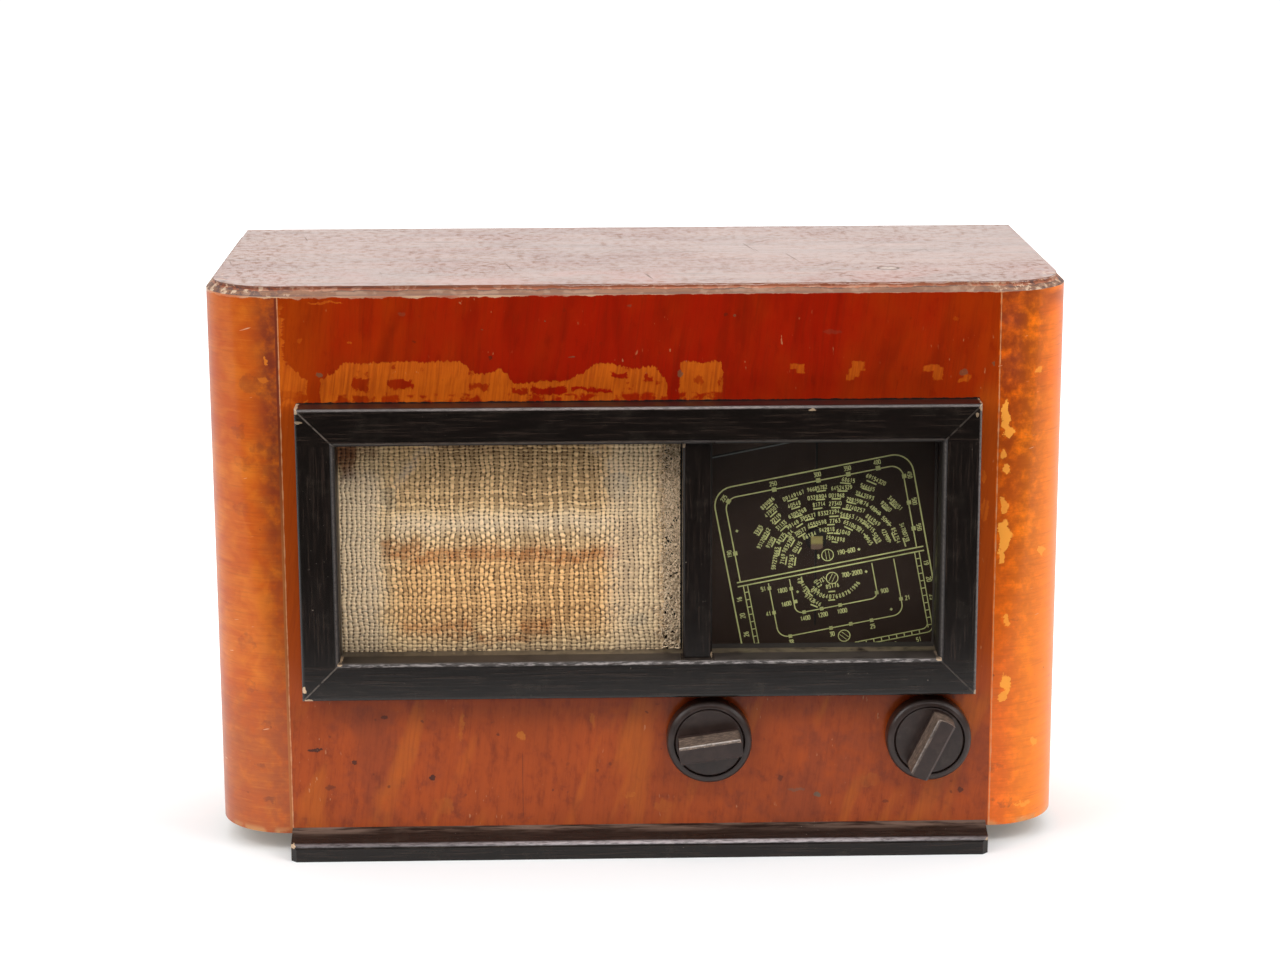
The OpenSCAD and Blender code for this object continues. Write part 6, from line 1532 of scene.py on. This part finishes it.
class RADIO_OT_stage(bpy.types.Operator):
    """Makes the camera, the white floor and backdrop, and the soft lights"""

    bl_idname = "radio.stage"
    bl_label = "Stage"

    def execute(self, context):
        s = context.scene.radio_stage
        yaw, dip, roll = s.turn
        right = Vector((math.cos(yaw), math.sin(yaw), 0))
        forward = Vector((-math.sin(yaw) * math.cos(dip), math.cos(yaw) * math.cos(dip), -math.sin(dip)))
        up = Vector((-math.sin(yaw) * math.sin(dip), math.cos(yaw) * math.sin(dip), math.cos(dip)))
        side = math.cos(roll) * right + math.sin(roll) * up
        head = -math.sin(roll) * right + math.cos(roll) * up
        data = bpy.data.cameras.new("camera")
        data.lens = s.lens
        data.sensor_width = 36.0
        data.clip_end = 50.0
        camera = bpy.data.objects.new("camera", data)
        context.scene.collection.objects.link(camera)
        pose = Matrix((side, head, -forward)).transposed().to_4x4()
        pose.translation = Vector(s.camera)
        camera.matrix_world = pose
        context.scene.camera = camera

        u = np.linspace(-9.0, 9.0, 9)
        x, y = np.meshgrid(u, u, indexing="ij")
        self.stand(context, "floor", np.stack([x, y, np.zeros_like(x)], axis=-1), self.floor_finish(s))
        x, z = np.meshgrid(np.linspace(-4.0, 4.0, 5), np.linspace(-0.05, 2.6, 5), indexing="ij")
        self.stand(
            context, "backdrop", np.stack([x, np.full_like(x, 2.6), z], axis=-1), self.backdrop_finish(s)
        )

        world = bpy.data.worlds.new("studio")
        world.use_nodes = True
        tree = world.node_tree
        seen = tree.nodes.new("ShaderNodeLightPath")
        share = tree.nodes.new("ShaderNodeMapRange")
        share.inputs["To Min"].default_value = s.room
        share.inputs["To Max"].default_value = 1.05
        tree.links.new(seen.outputs["Is Camera Ray"], share.inputs["Value"])
        tree.links.new(share.outputs[0], tree.nodes["Background"].inputs["Strength"])
        tree.nodes["Background"].inputs["Color"].default_value = (1.0, 1.0, 1.0, 1.0)
        context.scene.world = world
        context.scene.view_settings.view_transform = "Standard"

        for name, spot, aim, size, power in (
            ("left", (-1.15, -0.75, 1.05), (0, 0, 0.12), (0.9, 1.2), s.key),
            ("right", (1.15, -0.75, 1.05), (0, 0, 0.12), (0.9, 1.2), s.key * 0.95),
            ("overhead", (0.0, 0.15, 1.7), (0, 0, 0.1), (2.0, 1.2), s.key * 0.8),
            ("front", (0.0, -1.15, 1.45), (0, 0, 0.1), (1.6, 0.5), s.key * 0.55),
        ):
            light = bpy.data.lights.new(name, "AREA")
            light.shape = "RECTANGLE"
            light.size, light.size_y = size
            light.energy = power
            lamp = bpy.data.objects.new(name, light)
            context.scene.collection.objects.link(lamp)
            lamp.location = spot
            lamp.rotation_euler = (Vector(aim) - Vector(spot)).to_track_quat("-Z", "Y").to_euler()
        return {"FINISHED"}

    def stand(self, context, name, points, material):
        """Adds a sheet that belongs to the stage."""
        mesh = grid_mesh(name, points)
        mesh.materials.append(material)
        thing = bpy.data.objects.new(name, mesh)
        context.scene.collection.objects.link(thing)

    def floor_finish(self, s):
        """White table that gives off a little light; reflections of it go dark beyond s.table in front."""
        finish = Finish("white_table")
        _, y, _ = finish.split(finish.place())
        seen = finish.node("ShaderNodeLightPath", output=0)
        near = y.fade(-s.table / MM - 25, -s.table / MM + 25).most(seen)
        far = y.fade(-10, 260).most(y.fade(-60, -500) * 0.4)
        paper = finish.mix(far, (0.13, 0.15, 0.16), (1.6, 1.6, 1.6))
        return finish.surface(
            Base_Color=finish.mix(near, (0.02, 0.02, 0.02), (0.80, 0.80, 0.80)),
            Roughness=0.6,
            Emission_Color=finish.mix(seen, finish.mix(near, (0.0, 0.0, 0.0), (0.25, 0.25, 0.25)), paper),
            Emission_Strength=s.glow,
        )

    def backdrop_finish(self, s):
        """Evenly lit white paper."""
        finish = Finish("white_backdrop")
        return finish.surface(
            Base_Color=(0.06, 0.06, 0.06), Roughness=0.8,
            Emission_Color=(1.0, 1.0, 1.0), Emission_Strength=s.paper,
        )


class RADIO_OT_cabinet(bpy.types.Operator):
    """Finishes the veneered cabinet, the black frame and the plinth"""

    bl_idname = "radio.cabinet"
    bl_label = "Cabinet"

    def execute(self, context):
        tints = values_of(context.scene.radio_wood)
        dress(front_veneer(tints), "front_panel")
        dress(corner_veneer(tints), "side_left", "side_right")
        dress(top_veneer(tints), "top_panel")
        dress(
            black_lacquer(tints),
            "bezel_top", "bezel_bottom", "bezel_left", "bezel_right", "mullion", "rear_feet",
        )
        dress(black_lacquer(tints, "black_plinth", 0.22), "plinth_moulding")
        dress(plain_wood("bottom_ply", (0.42, 0.28, 0.15), "x"), "bottom_board")
        dress(plain_wood("post_wood", (0.46, 0.31, 0.17), "z"), "corner_posts")
        dress(pressed_board(), "back_cover")
        dress(plain_wood("blackened_ply", (0.030, 0.023, 0.018), "x"), "baffle_board")
        return {"FINISHED"}


class RADIO_OT_cloth(bpy.types.Operator):
    """Stretches the woven cloth over the loudspeaker and frays its right edge"""

    bl_idname = "radio.cloth"
    bl_label = "Grille cloth"

    def execute(self, context):
        cloth = values_of(context.scene.radio_cloth)
        front, back = cloth_points(220, 160)
        sheet = add_piece(
            "woven_cloth", closed_sheet("woven_cloth", front, back), cloth_finish(cloth), "cabinet"
        )
        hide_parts("grille_cloth")
        fray = add_piece("loose_fibres", loose_fibres(cloth.loose), fibre_finish(cloth), "cabinet")
        return {"FINISHED"}


class RADIO_OT_dial(bpy.types.Operator):
    """Prints the dial glass and finishes the plate, needle, lamps and clips behind it"""

    bl_idname = "radio.dial"
    bl_label = "Dial"

    def execute(self, context):
        dial = values_of(context.scene.radio_dial)
        piece = add_piece("dial_print", draw_dial(dial), ink_finish(dial), "cabinet", smooth=False)
        dress(glass_finish(dial), "dial_glass")
        dress(painted("plate_black", (0.078, 0.046, 0.030), 0.5, dusty=(0.12, 0.082, 0.058)), "dial_plate")
        dress(pointer_paint(), "pointer")
        dress(painted("buffer_rubber", (0.02, 0.02, 0.02), 0.7), "dial_buffers")
        dress(metal("clip_steel", (0.50, 0.49, 0.46), 0.35, "z"), "dial_clips")
        dress(metal("holder_steel", (0.52, 0.50, 0.46), 0.35, "z"), "dial_lamp_holders")
        dress(thin_glass("lamp_glass", (0.85, 0.80, 0.66), 0.45, 0.2), "dial_lamps")
        return {"FINISHED"}


class RADIO_OT_knobs(bpy.types.Operator):
    """Finishes the knobs, their spindles and bushes"""

    bl_idname = "radio.knobs"
    bl_label = "Knobs"

    def execute(self, context):
        knob = values_of(context.scene.radio_knob)
        dress(moulded_resin(knob), "volume_knob", "tuning_knob", "tone_knob", "band_knob", "mains_inlet")
        dress(
            metal("turned_brass", (0.62, 0.45, 0.19), 0.30, "y", dull=(0.25, 0.14, 0.05)),
            "volume_spindle", "tone_spindle", "tuning_spindle", "band_spindle", "control_bushes",
        )
        return {"FINISHED"}


class RADIO_OT_works(bpy.types.Operator):
    """Finishes the chassis, the valves, the loudspeaker and everything else inside"""

    bl_idname = "radio.works"
    bl_label = "Works"

    def execute(self, context):
        dress(
            metal("plated_steel", (0.48, 0.46, 0.42), 0.38, "x", dull=(0.16, 0.12, 0.08)),
            "chassis", "gang_bracket", "gang_frame",
        )
        dress(
            metal("screw_steel", (0.50, 0.48, 0.45), 0.34),
            "baffle_screws", "back_cover_screws", "speaker_screws", "chassis_bolts",
        )
        dress(
            metal("spun_aluminium", (0.70, 0.71, 0.72), 0.28, "z", dull=(0.42, 0.42, 0.41)),
            "coil_cans", "smoothing_capacitor", "gang_stators", "gang_rotor",
        )
        dress(
            laminate(),
            "valve_sockets", "volume_control", "tone_control", "band_switch", "tag_board",
            "aerial_earth_sockets",
        )
        dress(stacked_iron(), "mains_transformer_core", "output_transformer")
        dress(wound_paper(), "mains_transformer_winding")
        dress(painted("basket_paint", (0.06, 0.065, 0.07), 0.45), "speaker_frame")
        dress(painted("magnet_paint", (0.16, 0.17, 0.18), 0.42, 0.1), "speaker_magnet")
        dress(paper_cone(), "speaker_cone")
        dress(thin_glass("valve_glass", (0.80, 0.84, 0.85), 0.16, 0.2), "valve_envelopes")
        dress(metal("grey_nickel", (0.22, 0.22, 0.23), 0.5, "z", 0.8), "valve_electrodes")
        dress(painted("drum_moulding", (0.50, 0.40, 0.22), 0.45), "tuning_drum")
        dress(braided_cord(), "drive_cord")
        return {"FINISHED"}


class RADIO_PT_panel(bpy.types.Panel):
    """Sidebar panel with the radio's steps and settings"""

    bl_idname = "RADIO_PT_panel"
    bl_label = "Table radio"
    bl_space_type = "VIEW_3D"
    bl_region_type = "UI"
    bl_category = "Radio"

    def draw(self, context):
        layout = self.layout
        for operator in STEPS:
            layout.operator(operator.bl_idname)
        for group in GROUPS:
            box = layout.box()
            values = getattr(context.scene, group)
            for name in type(values).__annotations__:
                box.prop(values, name)


GROUPS = {
    "radio_wood": WoodSettings,
    "radio_cloth": ClothSettings,
    "radio_dial": DialSettings,
    "radio_knob": KnobSettings,
    "radio_stage": StageSettings,
}
STEPS = (
    RADIO_OT_stage,
    RADIO_OT_cabinet,
    RADIO_OT_cloth,
    RADIO_OT_dial,
    RADIO_OT_knobs,
    RADIO_OT_works,
)


def register():
    for name, group in GROUPS.items():
        bpy.utils.register_class(group)
        setattr(bpy.types.Scene, name, PointerProperty(type=group))
    for step in STEPS:
        bpy.utils.register_class(step)
    bpy.utils.register_class(RADIO_PT_panel)


def unregister():
    bpy.utils.unregister_class(RADIO_PT_panel)
    for step in reversed(STEPS):
        bpy.utils.unregister_class(step)
    for name, group in reversed(GROUPS.items()):
        delattr(bpy.types.Scene, name)
        bpy.utils.unregister_class(group)


def main():
    register()
    bpy.ops.radio.stage()
    bpy.ops.radio.cabinet()
    bpy.ops.radio.cloth()
    bpy.ops.radio.dial()
    bpy.ops.radio.knobs()
    bpy.ops.radio.works()


if __name__ == "__main__":
    main()
